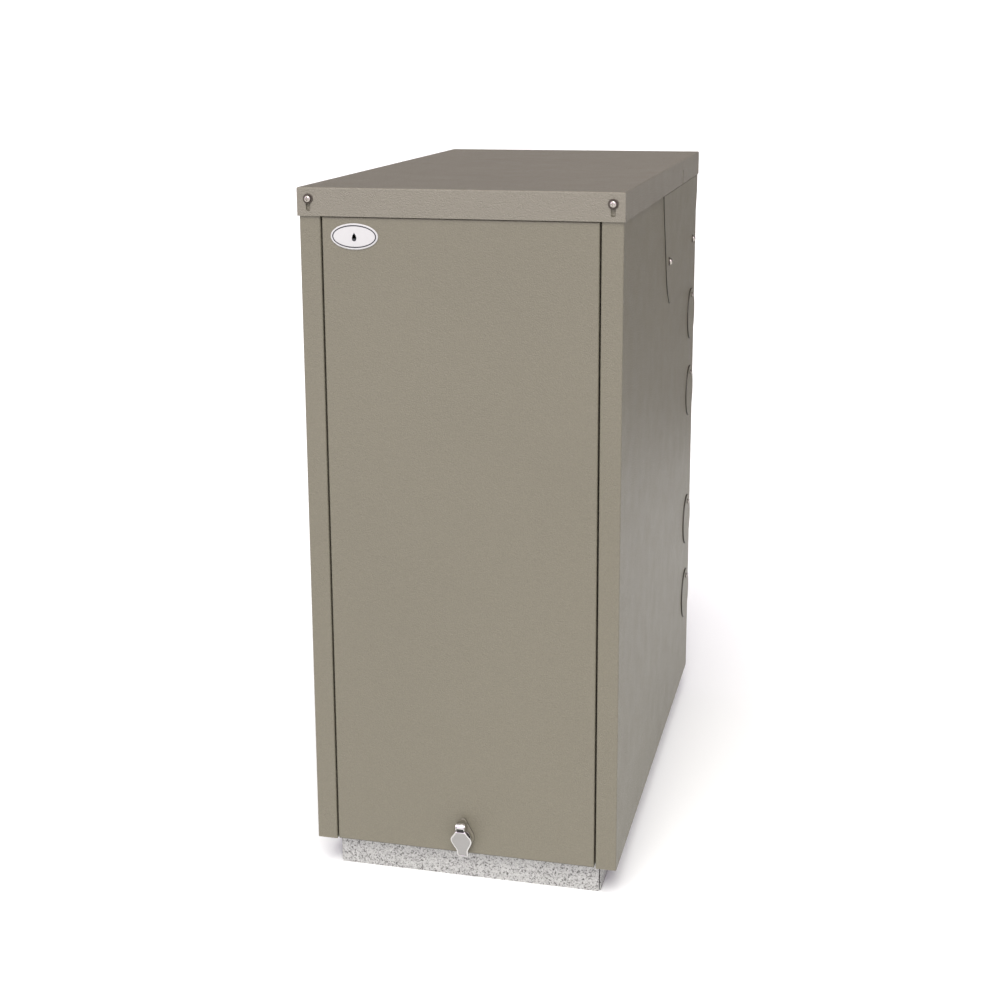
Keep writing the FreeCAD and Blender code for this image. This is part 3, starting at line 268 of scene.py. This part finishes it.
def metal(name, base, rough=0.3, var=0.08, grain=(900, 900, 900), bump=0.12, metallic=1.0, tint=0.08):
    """Bare or plated metal with a fine directional grain and uneven polish."""
    k = Nodes(name)
    v = k.mapping(tuple(g / 100.0 for g in grain))
    g = k.noise(100.0, 3.0, 0.6, vec=v)
    w = k.noise(22.0, 3.0, 0.6)
    c = k.mix(k.range(k.math("ADD", k.math("MULTIPLY", g, 0.6), k.math("MULTIPLY", w, 0.4)), 0.3, 0.7, 0.0, 1.0), tuple(x * (1 - tint) for x in base), tuple(min(1, x * (1 + tint)) for x in base))
    r = k.range(k.math("ADD", k.math("MULTIPLY", g, 0.5), k.math("MULTIPLY", w, 0.5)), 0.3, 0.7, max(0.03, rough - var), rough + var)
    n = k.bump(g, bump, 0.0001)
    return k.set(color=c, rough=r, metal=metallic, normal=n)


def cast(name, base, rough=0.5, metallic=0.9, size=480.0, bump=0.5):
    """Die-cast or sand-cast skin: soft pitting and a blotchy sheen."""
    k = Nodes(name)
    a = k.noise(size, 4.0, 0.65)
    p = k.voronoi(size * 1.4, "SMOOTH_F1", smooth=0.5)
    w = k.noise(30.0, 3.0, 0.6)
    c = k.mix(k.range(w, 0.35, 0.65, 0.0, 1.0), tuple(x * 0.86 for x in base), tuple(min(1, x * 1.10) for x in base))
    c = k.mix(k.range(a, 0.55, 0.75, 0.0, 0.35), c, tuple(x * 0.62 for x in base))
    n = k.bump(k.math("ADD", a, k.math("MULTIPLY", p, -0.5)), bump, 0.0004)
    return k.set(color=c, rough=k.range(w, 0.3, 0.7, rough - 0.07, rough + 0.1), metal=metallic, normal=n)


def plastic(name, base, rough=0.45, size=1400.0, bump=0.22, spec=0.5, var=0.07):
    """Moulded plastic: spark-eroded texture and slight tone change."""
    k = Nodes(name)
    a = k.noise(size, 3.0, 0.6)
    w = k.noise(14.0, 3.0, 0.55)
    c = k.mix(k.range(w, 0.35, 0.65, 0.0, 1.0), tuple(x * (1 - var) for x in base), tuple(min(1, x * (1 + var)) for x in base))
    n = k.bump(a, bump, 0.0002)
    return k.set(color=c, rough=k.range(k.math("ADD", k.math("MULTIPLY", a, 0.5), k.math("MULTIPLY", w, 0.5)), 0.3, 0.7, rough - 0.06, rough + 0.07), normal=n, spec=spec)


def paint(name, base, rough=0.4, spec=0.5):
    """Wet-sprayed paint: faint orange peel and dust."""
    k = Nodes(name)
    peel = k.noise(230.0, 2.0, 0.5)
    dust = k.noise(9.0, 5.0, 0.65)
    c = k.mix(k.range(dust, 0.42, 0.72, 0.0, 0.55), base, tuple(min(1, x * 1.25 + 0.015) for x in base))
    n = k.bump(peel, 0.12, 0.0006)
    return k.set(color=c, rough=k.range(dust, 0.3, 0.7, rough - 0.05, rough + 0.12), normal=n, spec=spec)


def fibre(name, base, foil=False):
    """Mineral or ceramic fibre; with foil, the crinkled aluminium face of a blanket."""
    k = Nodes(name)
    if foil:
        cr = k.voronoi(48.0, "DISTANCE_TO_EDGE", vec=k.mix(0.05, k.co, k.noise(30.0, 3.0, 0.6, color=True), "ADD"))
        ridge = k.range(cr, 0.0, 0.12, 1.0, 0.0, True)
        w = k.noise(60.0, 4.0, 0.65)
        scrim = k.math("MAXIMUM", k.range(k.math("PINGPONG", k.sep()[2], 0.006), 0.0, 0.0005, 1.0, 0.0), k.range(k.math("PINGPONG", k.math("ADD", k.sep()[0], k.sep()[1]), 0.006), 0.0, 0.0005, 1.0, 0.0))
        h = k.math("ADD", k.math("MULTIPLY", w, 1.0), k.math("ADD", k.math("MULTIPLY", ridge, 0.35), k.math("MULTIPLY", scrim, 0.18)))
        c = k.mix(k.range(w, 0.3, 0.7, 0.0, 1.0), tuple(x * 0.85 for x in base), base)
        return k.set(color=c, rough=k.range(w, 0.3, 0.7, 0.22, 0.42), metal=0.95, normal=k.bump(h, 0.6, 0.0018))
    a = k.noise(900.0, 5.0, 0.7, vec=k.mapping((1, 0.25, 1)))
    c = k.mix(k.range(a, 0.3, 0.7, 0.0, 1.0), tuple(x * 0.8 for x in base), base)
    return k.set(color=c, rough=k.range(a, 0.3, 0.7, 0.82, 0.97), normal=k.bump(a, 0.7, 0.0006), sheen=0.2)


PAINT = (0.1525, 0.1440, 0.1022)
M = {
    "casing_paint": powder_coat("casing_paint_look", PAINT),
    "front_paint": powder_coat("front_paint_look", PAINT, press=(0.0, 0.068, 0.034)),
    # painted light: the lid's paint is a lighter, bluer copy of the casing paint, standing in for the light that falls
    # on the lid
    "lid_paint": powder_coat("lid_paint_lit_look", (PAINT[0] * 1.20, PAINT[1] * 1.20, PAINT[2] * 1.30), rough=0.44, grain=1.7),
    "cover_paint": powder_coat("cover_paint_look", PAINT, rim=(0, 0.55, 0.93)),
    "boss_paint": powder_coat("boss_paint_look", PAINT, rim=(1, 0.30, 0.75)),
    "screw_lid": screw_steel("screw_lid_look", "lid"),
    "screw_side": screw_steel("screw_side_look", "side"),
    "lock_shade": metal("lock_shade_look", (0.050, 0.047, 0.046), 0.34, 0.05, bump=0.06),
    "galvanised": galvanised("galvanised_look"),
    "screw_steel": metal("screw_steel_look", (0.50, 0.49, 0.47), 0.20),
    "lock_chrome": metal("lock_chrome_look", (0.60, 0.59, 0.575), 0.16, 0.06, bump=0.06),
    "flap_face": metal("flap_face_look", (0.35, 0.343, 0.335), 0.38, 0.06, bump=0.10),
    "badge_ink": plastic("badge_ink_look", (0.020, 0.022, 0.026), 0.30, bump=0.03),
    "lock_zinc": metal("lock_zinc_look", (0.60, 0.60, 0.58), 0.32),
    "badge_face": plastic("badge_face_look", (0.47, 0.475, 0.465), 0.34, bump=0.03, var=0.02),
    "boiler_paint": paint("boiler_paint_look", (0.020, 0.022, 0.026), 0.42),
    "baffle_steel": metal("baffle_steel_look", (0.20, 0.17, 0.15), 0.5, 0.12, bump=0.3),
    "jacket_foil": fibre("jacket_foil_look", (0.80, 0.80, 0.81), foil=True),
    "stainless": metal("stainless_look", (0.56, 0.56, 0.57), 0.30, 0.07, grain=(200, 200, 2600)),
    "flue_plastic": plastic("flue_plastic_look", (0.60, 0.60, 0.58), 0.42),
    "rubber": plastic("rubber_look", (0.016, 0.016, 0.017), 0.66, 900.0, 0.35),
    "copper": metal("copper_look", (0.72, 0.36, 0.22), 0.26, 0.10, tint=0.16),
    "waste_plastic": plastic("waste_plastic_look", (0.66, 0.66, 0.64), 0.38),
    "cap_plastic": plastic("cap_plastic_look", (0.018, 0.018, 0.020), 0.42),
    "brass": metal("brass_look", (0.66, 0.47, 0.20), 0.28, 0.08, tint=0.12),
    "lever_red": plastic("lever_red_look", (0.42, 0.018, 0.014), 0.30),
    "gasket_fibre": fibre("gasket_fibre_look", (0.66, 0.63, 0.56)),
    "cast_iron": cast("cast_iron_look", (0.055, 0.055, 0.060), 0.55, 0.5, 420.0, 0.6),
    "cast_aluminium": cast("cast_aluminium_look", (0.50, 0.51, 0.52), 0.42, 0.95, 520.0, 0.35),
    "fan_steel": metal("fan_steel_look", (0.55, 0.56, 0.58), 0.32),
    "motor_paint": paint("motor_paint_look", (0.016, 0.018, 0.020), 0.36),
    "black_plastic": plastic("black_plastic_look", (0.014, 0.014, 0.016), 0.46),
    "damper_zinc": metal("damper_zinc_look", (0.58, 0.57, 0.52), 0.36),
    "electrode_ceramic": plastic("electrode_ceramic_look", (0.78, 0.75, 0.68), 0.18, bump=0.04),
    "panel_grey": paint("panel_grey_look", (0.40, 0.41, 0.41), 0.38),
}
slots = {s["node"]: s["material_slot"] for s in frame["record"]["subparts"]}
slots.update(front_panel="front_paint", top_panel="lid_paint", flue_covers="cover_paint", pipe_covers="cover_paint", lock_boss="boss_paint",
             lid_screws="screw_lid", casing_screws="screw_side")
for n, o in N.items():
    for i in range(len(o.material_slots)):
        o.material_slots[i].material = M[slots[n]]

# ---------------------------------------------------------------- mesh helpers
def new_piece(name, bm, mats, body, stands_for=(), smooth_angle=35.0):
    me = bpy.data.meshes.new(name)
    bmesh.ops.recalc_face_normals(bm, faces=bm.faces)
    bm.to_mesh(me)
    bm.free()
    for m in mats:
        me.materials.append(M[m])
    me.shade_smooth()
    me.set_sharp_from_angle(angle=math.radians(smooth_angle))
    o = bpy.data.objects.new(name, me)
    scene.collection.objects.link(o)
    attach(o, body)
    if stands_for:
        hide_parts(*stands_for)
    return o


def rings(bm, loops, mats=None, close_first=True, close_last=True):
    """Bridges a list of equal-length point loops into a skin. mats gives each band's material index."""
    vs = [[bm.verts.new(p) for p in loop] for loop in loops]
    n = len(vs[0])
    for k in range(len(vs) - 1):
        for i in range(n):
            f = bm.faces.new((vs[k][i], vs[k][(i + 1) % n], vs[k + 1][(i + 1) % n], vs[k + 1][i]))
            if mats:
                f.material_index = mats[k]
    if close_first:
        bm.faces.new(vs[0])
    if close_last:
        f = bm.faces.new(vs[-1])
        if mats:
            f.material_index = mats[-1]
    return vs


def chaikin(pts, times=2, closed=True):
    for _ in range(times):
        out = []
        n = len(pts)
        for i in range(n if closed else n - 1):
            a, b = pts[i], pts[(i + 1) % n]
            out.append(tuple(0.75 * u + 0.25 * v for u, v in zip(a, b)))
            out.append(tuple(0.25 * u + 0.75 * v for u, v in zip(a, b)))
        pts = out
    return pts


def inset(pts, d):
    """Moves a closed outline inwards by d, along the mean of each corner's two edge normals."""
    n = len(pts)
    area = sum(pts[i][0] * pts[(i + 1) % n][1] - pts[(i + 1) % n][0] * pts[i][1] for i in range(n))
    sgn = 1.0 if area > 0 else -1.0
    out = []
    for i in range(n):
        a, b, c = pts[i - 1], pts[i], pts[(i + 1) % n]
        n1 = Vector((-(b[1] - a[1]), b[0] - a[0])).normalized()
        n2 = Vector((-(c[1] - b[1]), c[0] - b[0])).normalized()
        m = (n1 + n2).normalized()
        q = d / max(0.5, m.dot(n1)) * sgn
        out.append((b[0] + m.x * q, b[1] + m.y * q))
    return out


def soften(node, width, angle=38.0, segments=2):
    """A small round on the cut and cast edges of a CAD node, as a modifier: the node's own mesh stays as it is."""
    o = N[node]
    w = o.modifiers.new("weld", "WELD")
    w.merge_threshold = 1e-5
    b = o.modifiers.new("edges", "BEVEL")
    b.width, b.segments, b.limit_method, b.angle_limit = width, segments, "ANGLE", math.radians(angle)
    b.use_clamp_overlap = True
    b.miter_outer = "MITER_ARC"
    wn_ = o.modifiers.new("shade", "WEIGHTED_NORMAL")
    wn_.keep_sharp = True
    wn_.weight = 80


# ---------------------------------------------------------------- oval badge: white plate, thin dark keyline, a plain drop
def badge():
    lo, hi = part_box("oval_badge")
    cx, cz, a, b = (lo.x + hi.x) / 2, (lo.z + hi.z) / 2, (hi.x - lo.x) / 2, (hi.z - lo.z) / 2
    yb, yf = hi.y, lo.y

    def loop(shrink, y, n=128):
        return [(cx + (a - shrink) * math.cos(2 * math.pi * i / n), y, cz + (b - shrink) * math.sin(2 * math.pi * i / n)) for i in range(n)]
    bm = bmesh.new()
    prof = [(0.0, yb), (0.0, yb - 0.0006), (0.00018, yb - 0.00095), (0.00055, yf + 0.00012), (0.0010, yf + 0.00002), (0.0015, yf), (0.0019, yf + 0.00006),
            (0.0020, yf + 0.00020), (0.0034, yf + 0.00020), (0.0035, yf + 0.00007), (0.0060, yf + 0.00003), (0.0100, yf + 0.00001), (0.0130, yf)]
    rings(bm, [loop(s, y) for s, y in prof], [0, 0, 0, 0, 0, 0, 0, 1, 0, 0, 0, 0])
    new_piece("badge_plate", bm, ["badge_face", "badge_ink"], "front", ["oval_badge"])
    # the drop: pointed at the top, round below, lying in the middle of the field
    pts = []
    n = 48
    for i in range(n):
        t = 2 * math.pi * i / n
        r = 0.0040
        x = r * math.sin(t) * (math.sin(t / 2) ** 1.15)
        z = r * math.cos(t) * 1.32
        pts.append((cx + x, cz + z - 0.0004))
    bm = bmesh.new()
    l0 = [(x, yf + 0.00014, z) for x, z in pts]
    l1 = [(x, yf + 0.00002, z) for x, z in pts]
    l2 = [(cx + (x - cx) * 0.93, yf, cz + (z - cz) * 0.93) for x, z in pts]
    rings(bm, [l0, l1, l2])
    new_piece("badge_drop", bm, ["badge_ink"], "front")


badge()


# ---------------------------------------------------------------- dust flap of the lock: pressed leaf with a raised rim, hung from a rolled barrel
def dust_flap():
    mm = 0.001
    # centre line of the leaf's front face in the YZ plane, steeper at first and then leaning in
    line, y, z, step = [], -366.14, 84.1, 0.1
    for i in range(460):
        v = i * step
        t = min(1.0, max(0.0, (v - 13.0) / 15.0))
        a = math.radians(13.5 + (19.0 - 13.5) * t * t * (3 - 2 * t))
        line.append((y, z, math.sin(a), -math.cos(a)))
        y, z = y + math.sin(a) * step, z - math.cos(a) * step

    def place(p, w):
        q = line[min(len(line) - 1, max(0, int(round(p[1] / step))))]
        return Vector((p[0], q[0] + q[3] * w, q[1] - q[2] * w)) * mm

    def along(z):
        return next(i * step for i, q in enumerate(line) if q[1] <= z)
    half = [(5.4, 79.0), (6.7, 78.5), (7.3, 76.9), (9.2, 73.8), (12.3, 69.9), (13.4, 66.6), (13.1, 63.2), (11.5, 59.0), (9.0, 54.0), (7.5, 50.8), (6.95, 48.0), (6.95, 42.0), (5.2, 40.6)]
    outline = [(x, along(z)) for x, z in half]
    outline = outline + [(-x, v) for x, v in reversed(outline)]
    pts = chaikin(outline, 2)
    bm = bmesh.new()
    inner = [inset(pts, d) for d in (0.16, 0.70, 1.25, 1.60, 2.1)]
    loops = [[place(p, -1.30) for p in inset(pts, 0.15)], [place(p, -1.12) for p in pts], [place(p, -0.62) for p in pts], [place(p, -0.42) for p in inner[0]],
             [place(p, -0.04) for p in inner[1]], [place(p, -0.04) for p in inner[2]], [place(p, -0.30) for p in inner[3]], [place(p, -0.34) for p in inner[4]]]
    rings(bm, loops, [0, 0, 0, 0, 0, 0, 1, 1])
    new_piece("flap_leaf", bm, ["lock_chrome", "flap_face"], "flap", ["lock_flap"], 28.0)
    # barrel round the pin, its underside in a dark material as painted shade, and the neck that joins it to the leaf,
    # also dark as painted shade
    hy, hz, n = -361.0, 84.4, 72

    def hoop(x, r):
        return [Vector((x, hy + r * math.cos(2 * math.pi * i / n), hz + r * math.sin(2 * math.pi * i / n))) * mm for i in range(n)]
    bm = bmesh.new()
    prof = [(-4.3, 1.35), (-4.3, 4.75), (-4.18, 5.08), (-3.9, 5.25), (3.9, 5.25), (4.18, 5.08), (4.3, 4.75), (4.3, 1.35)]
    vs = rings(bm, [hoop(x, r) for x, r in prof], None, False, False)
    for i in range(n):
        bm.faces.new((vs[-1][i], vs[-1][(i + 1) % n], vs[0][(i + 1) % n], vs[0][i]))
    # painted shade: the barrel's lower, forward faces take the dark material
    for f in bm.faces:
        c = f.calc_center_median() / mm
        if c.z < hz - 0.35 and c.y < hy + 1.0:
            f.material_index = 1
    new_piece("flap_barrel", bm, ["lock_chrome", "lock_shade"], "flap", (), 40.0)
    bm = bmesh.new()
    # painted shade: the whole neck is in the dark material
    sec = [(-364.70, 78.6), (-364.95, 79.4), (-364.75, 80.6), (-363.9, 81.2), (-362.6, 80.4), (-363.1, 79.2), (-363.7, 78.4)]
    loops = []
    for x, d in ((-4.2, 0.2), (-4.0, 0.0), (4.0, 0.0), (4.2, 0.2)):
        loops.append([Vector((x, y, z)) * mm for y, z in (inset(sec, d) if d else sec)])
    rings(bm, loops)
    new_piece("flap_neck", bm, ["lock_shade"], "flap", (), 40.0)


dust_flap()

# ---------------------------------------------------------------- insulation blanket: foil-faced fibre, nipped in where its ties run
def blanket():
    src = N["insulation_jacket"]
    me = src.data.copy()
    o = bpy.data.objects.new("blanket_form", me)
    scene.collection.objects.link(o)
    r = o.modifiers.new("even", "REMESH")
    r.mode, r.voxel_size, r.adaptivity = "VOXEL", 0.0045, 0.0
    bpy.context.view_layer.update()
    ev = o.evaluated_get(bpy.context.evaluated_depsgraph_get())
    body = bpy.data.meshes.new_from_object(ev)
    bpy.data.objects.remove(o)
    bm = bmesh.new()
    bm.from_mesh(body)
    bpy.data.meshes.remove(body)
    for _ in range(3):
        bmesh.ops.smooth_vert(bm, verts=bm.verts, factor=0.5, use_axis_x=True, use_axis_y=True, use_axis_z=True)
    bm.normal_update()
    lo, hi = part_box("insulation_jacket")
    ties = [lo.z + (hi.z - lo.z) * f for f in (0.16, 0.39, 0.62, 0.85)]
    moves = []
    for v in bm.verts:
        c, nv = v.co, v.normal
        outer = c.x < lo.x + 0.006 or c.x > hi.x - 0.006 or c.y < lo.y + 0.006 or c.z > hi.z - 0.006
        d = -0.0010
        if outer:
            gap = min(abs(c.z - t) for t in ties)
            nip = math.exp(-(gap / 0.0075) ** 2)
            run = c.x if abs(nv.y) > 0.5 else c.y
            wrinkle = math.sin(run * 210.0 + 3.0 * math.sin(c.z * 31.0)) * math.exp(-(gap / 0.030) ** 2)
            sag = math.sin(c.z * 63.0 + 1.7 * math.sin(run * 23.0)) * math.sin(run * 38.0 + c.z * 9.0)
            d = -0.0012 - 0.0030 * nip + 0.0006 * wrinkle * (1.0 - nip) + 0.0006 * sag
        moves.append(nv * d)
    for v, m in zip(bm.verts, moves):
        v.co += m
        v.co.x = min(hi.x - 0.0003, max(lo.x + 0.0003, v.co.x))
        v.co.y = min(hi.y - 0.0003, max(lo.y + 0.0003, v.co.y))
        v.co.z = min(hi.z - 0.0003, max(lo.z + 0.0003, v.co.z))
    o = new_piece("insulation_blanket", bm, ["jacket_foil"], "cabinet", ["insulation_jacket"], 60.0)


blanket()

# ---------------------------------------------------------------- small rounds on cast, moulded and machined edges
for node, width in {"lock_housing": 0.0003, "control_box": 0.0022, "burner_flange": 0.0012, "access_cover": 0.0008, "oil_pump": 0.0012,
                    "solenoid_coil": 0.0012, "air_intake": 0.0012, "motor": 0.0008, "primary_heat_exchanger": 0.0014,
                    "secondary_heat_exchanger": 0.0010, "burner_body": 0.0010, "oil_valve": 0.0005, "condensate_trap": 0.0008,
                    "thermostat_knob": 0.0006, "power_switch": 0.0005, "reset_button": 0.0005, "overheat_reset": 0.0003, "flange_gasket": 0.0005,
                    "valve_lever": 0.0004, "flue_manifold": 0.0010, "baffles": 0.0005, "boiler_nuts": 0.0004, "trap_cap": 0.0005,
                    "fan_housing": 0.0007, "lock_cam": 0.0002, "drain_cock": 0.0004, "drain_spindle": 0.0004}.items():
    soften(node, width)

# ---------------------------------------------------------------- floor and light
fm = Nodes("studio_floor")
tone = fm.noise(0.8, 2.0, 0.5)
fm.set(color=fm.mix(fm.range(tone, 0.3, 0.7, 0.0, 1.0), (0.935, 0.970, 0.950), (0.945, 0.980, 0.960)), rough=0.9, spec=0.0)
me = bpy.data.meshes.new("floor")
S = 60.0
me.from_pydata([(-S, -S, 0), (S, -S, 0), (S, S, 0), (-S, S, 0)], [], [(0, 1, 2, 3)])
me.materials.append(fm.m)
floor = bpy.data.objects.new("floor", me)
scene.collection.objects.link(floor)

# soft room: white low down all round, dimmer overhead and behind, so the upward and sideways faces fall off
world = bpy.data.worlds.new("studio")
scene.world = world
world.use_nodes = True
wt = world.node_tree
wt.nodes.clear()


def wn(kind, **props):
    n = wt.nodes.new(kind)
    for k, v in props.items():
        setattr(n, k, v)
    return n


def wmap(src, a0, a1, b0, b1, smooth=True):
    n = wn("ShaderNodeMapRange")
    if smooth:
        n.interpolation_type = "SMOOTHSTEP"
    wt.links.new(src, n.inputs["Value"])
    for k, x in zip(("From Min", "From Max", "To Min", "To Max"), (a0, a1, b0, b1)):
        n.inputs[k].default_value = x
    return n.outputs[0]


def wmath(op, x, y):
    n = wn("ShaderNodeMath", operation=op)
    for i, v in enumerate((x, y)):
        if isinstance(v, bpy.types.NodeSocket):
            wt.links.new(v, n.inputs[i])
        else:
            n.inputs[i].default_value = v
    return n.outputs[0]


wd = wn("ShaderNodeSeparateXYZ")
wt.links.new(wn("ShaderNodeTexCoord").outputs["Generated"], wd.inputs[0])
WX, WY, WZ = wd.outputs
up = wmap(WZ, 0.035, 0.10, 1.0, 0.0)                    # the thin white band along the horizon
front = wmap(WY, -0.9, 0.35, 1.0, 0.0)                  # bright ahead of the front panel, dim behind it
right = wmap(WX, 0.2, 1.0, 0.0, 1.0)
high = wmap(WZ, 0.35, 0.95, 0.0, 1.0)
level = wmath("ADD", 0.20, wmath("MULTIPLY", front, 0.62))
level = wmath("SUBTRACT", level, wmath("MULTIPLY", right, 0.10))
level = wmath("MULTIPLY", level, wmath("SUBTRACT", 1.0, wmath("MULTIPLY", high, 0.45)))
level = wmath("MAXIMUM", level, wmath("MULTIPLY", up, 1.0))
wc = wn("ShaderNodeMix", data_type="RGBA")
wt.links.new(up, wc.inputs[0])
wc.inputs[6].default_value = (1.08, 0.90, 1.16, 1.0)
wc.inputs[7].default_value = (1.0, 1.0, 1.0, 1.0)
level = wmath("MULTIPLY", level, 1.15)
# in reflections only: a tall soft box in front, and a dark studio overhead and high up behind
box_lo = wmap(WZ, 0.02, 0.10, 0.0, 1.0)
box_hi = wmap(WZ, 0.74, 0.86, 1.0, 0.0)
ahead = wmap(WY, -0.10, 0.06, 1.0, 0.0)
soft = wmath("MULTIPLY", wmath("MULTIPLY", box_lo, box_hi), ahead)
dark = wmath("MULTIPLY", wmap(WZ, 0.34, 0.50, 0.0, 1.0), wmath("SUBTRACT", 1.0, soft))
gloss = wmath("MULTIPLY", level, wmath("SUBTRACT", 1.0, wmath("MULTIPLY", dark, 0.93)))
gloss = wmath("ADD", gloss, wmath("MULTIPLY", soft, 0.75))
path = wn("ShaderNodeLightPath").outputs
ray, seen = path["Is Glossy Ray"], path["Is Camera Ray"]
level = wmath("ADD", wmath("MULTIPLY", level, wmath("SUBTRACT", 1.0, ray)), wmath("MULTIPLY", gloss, ray))
# the backdrop itself is plain white, like the floor
level = wmath("ADD", wmath("MULTIPLY", level, wmath("SUBTRACT", 1.0, seen)), wmath("MULTIPLY", 1.1, seen))
wt.links.new(wmath("MAXIMUM", up, seen), wc.inputs[0])
bg = wn("ShaderNodeBackground")
wt.links.new(wc.outputs[2], bg.inputs[0])
wt.links.new(level, bg.inputs[1])
wt.links.new(bg.outputs[0], wn("ShaderNodeOutputWorld").inputs[0])


def sun(name, azimuth, elevation, strength, angle, color):
    """Azimuth 0 shines along +Y on to the front panel, 90 shines along -X on to the right side."""
    d = bpy.data.lights.new(name, "SUN")
    d.energy, d.angle, d.color = strength, math.radians(angle), color
    o = bpy.data.objects.new(name, d)
    az, el = math.radians(azimuth), math.radians(elevation)
    o.rotation_euler = Vector((-math.sin(az) * math.cos(el), math.cos(az) * math.cos(el), -math.sin(el))).to_track_quat("-Z", "Y").to_euler()
    scene.collection.objects.link(o)
    return o


sun("key", 8.0, 52.0, 2.75, 38.0, (1.0, 0.985, 0.93))
sun("fill", -35.0, 60.0, 1.05, 70.0, (1.0, 0.97, 0.95))
sun("side", 72.0, 38.0, 0.42, 80.0, (1.0, 0.92, 0.90))
# a dark flag behind on the right, seen only in reflections, so the side panel falls off towards its top
km = Nodes("flag_cloth")
km.set(color=km.mix(km.range(km.noise(30.0, 2.0), 0.3, 0.7, 0.0, 1.0), (0.105, 0.098, 0.105), (0.125, 0.118, 0.125)), rough=0.9, spec=0.0)
me = bpy.data.meshes.new("flag")
me.from_pydata([(0.32, 1.3, 0.16), (2.6, 0.7, 0.16), (2.6, 0.7, 3.2), (0.32, 1.3, 3.2)], [], [(0, 1, 2, 3)])
me.materials.append(km.m)
flag = bpy.data.objects.new("flag", me)
scene.collection.objects.link(flag)
flag.visible_camera = flag.visible_diffuse = flag.visible_shadow = flag.visible_transmission = False

scene.view_settings.view_transform = "Standard"
scene.view_settings.look = "None"
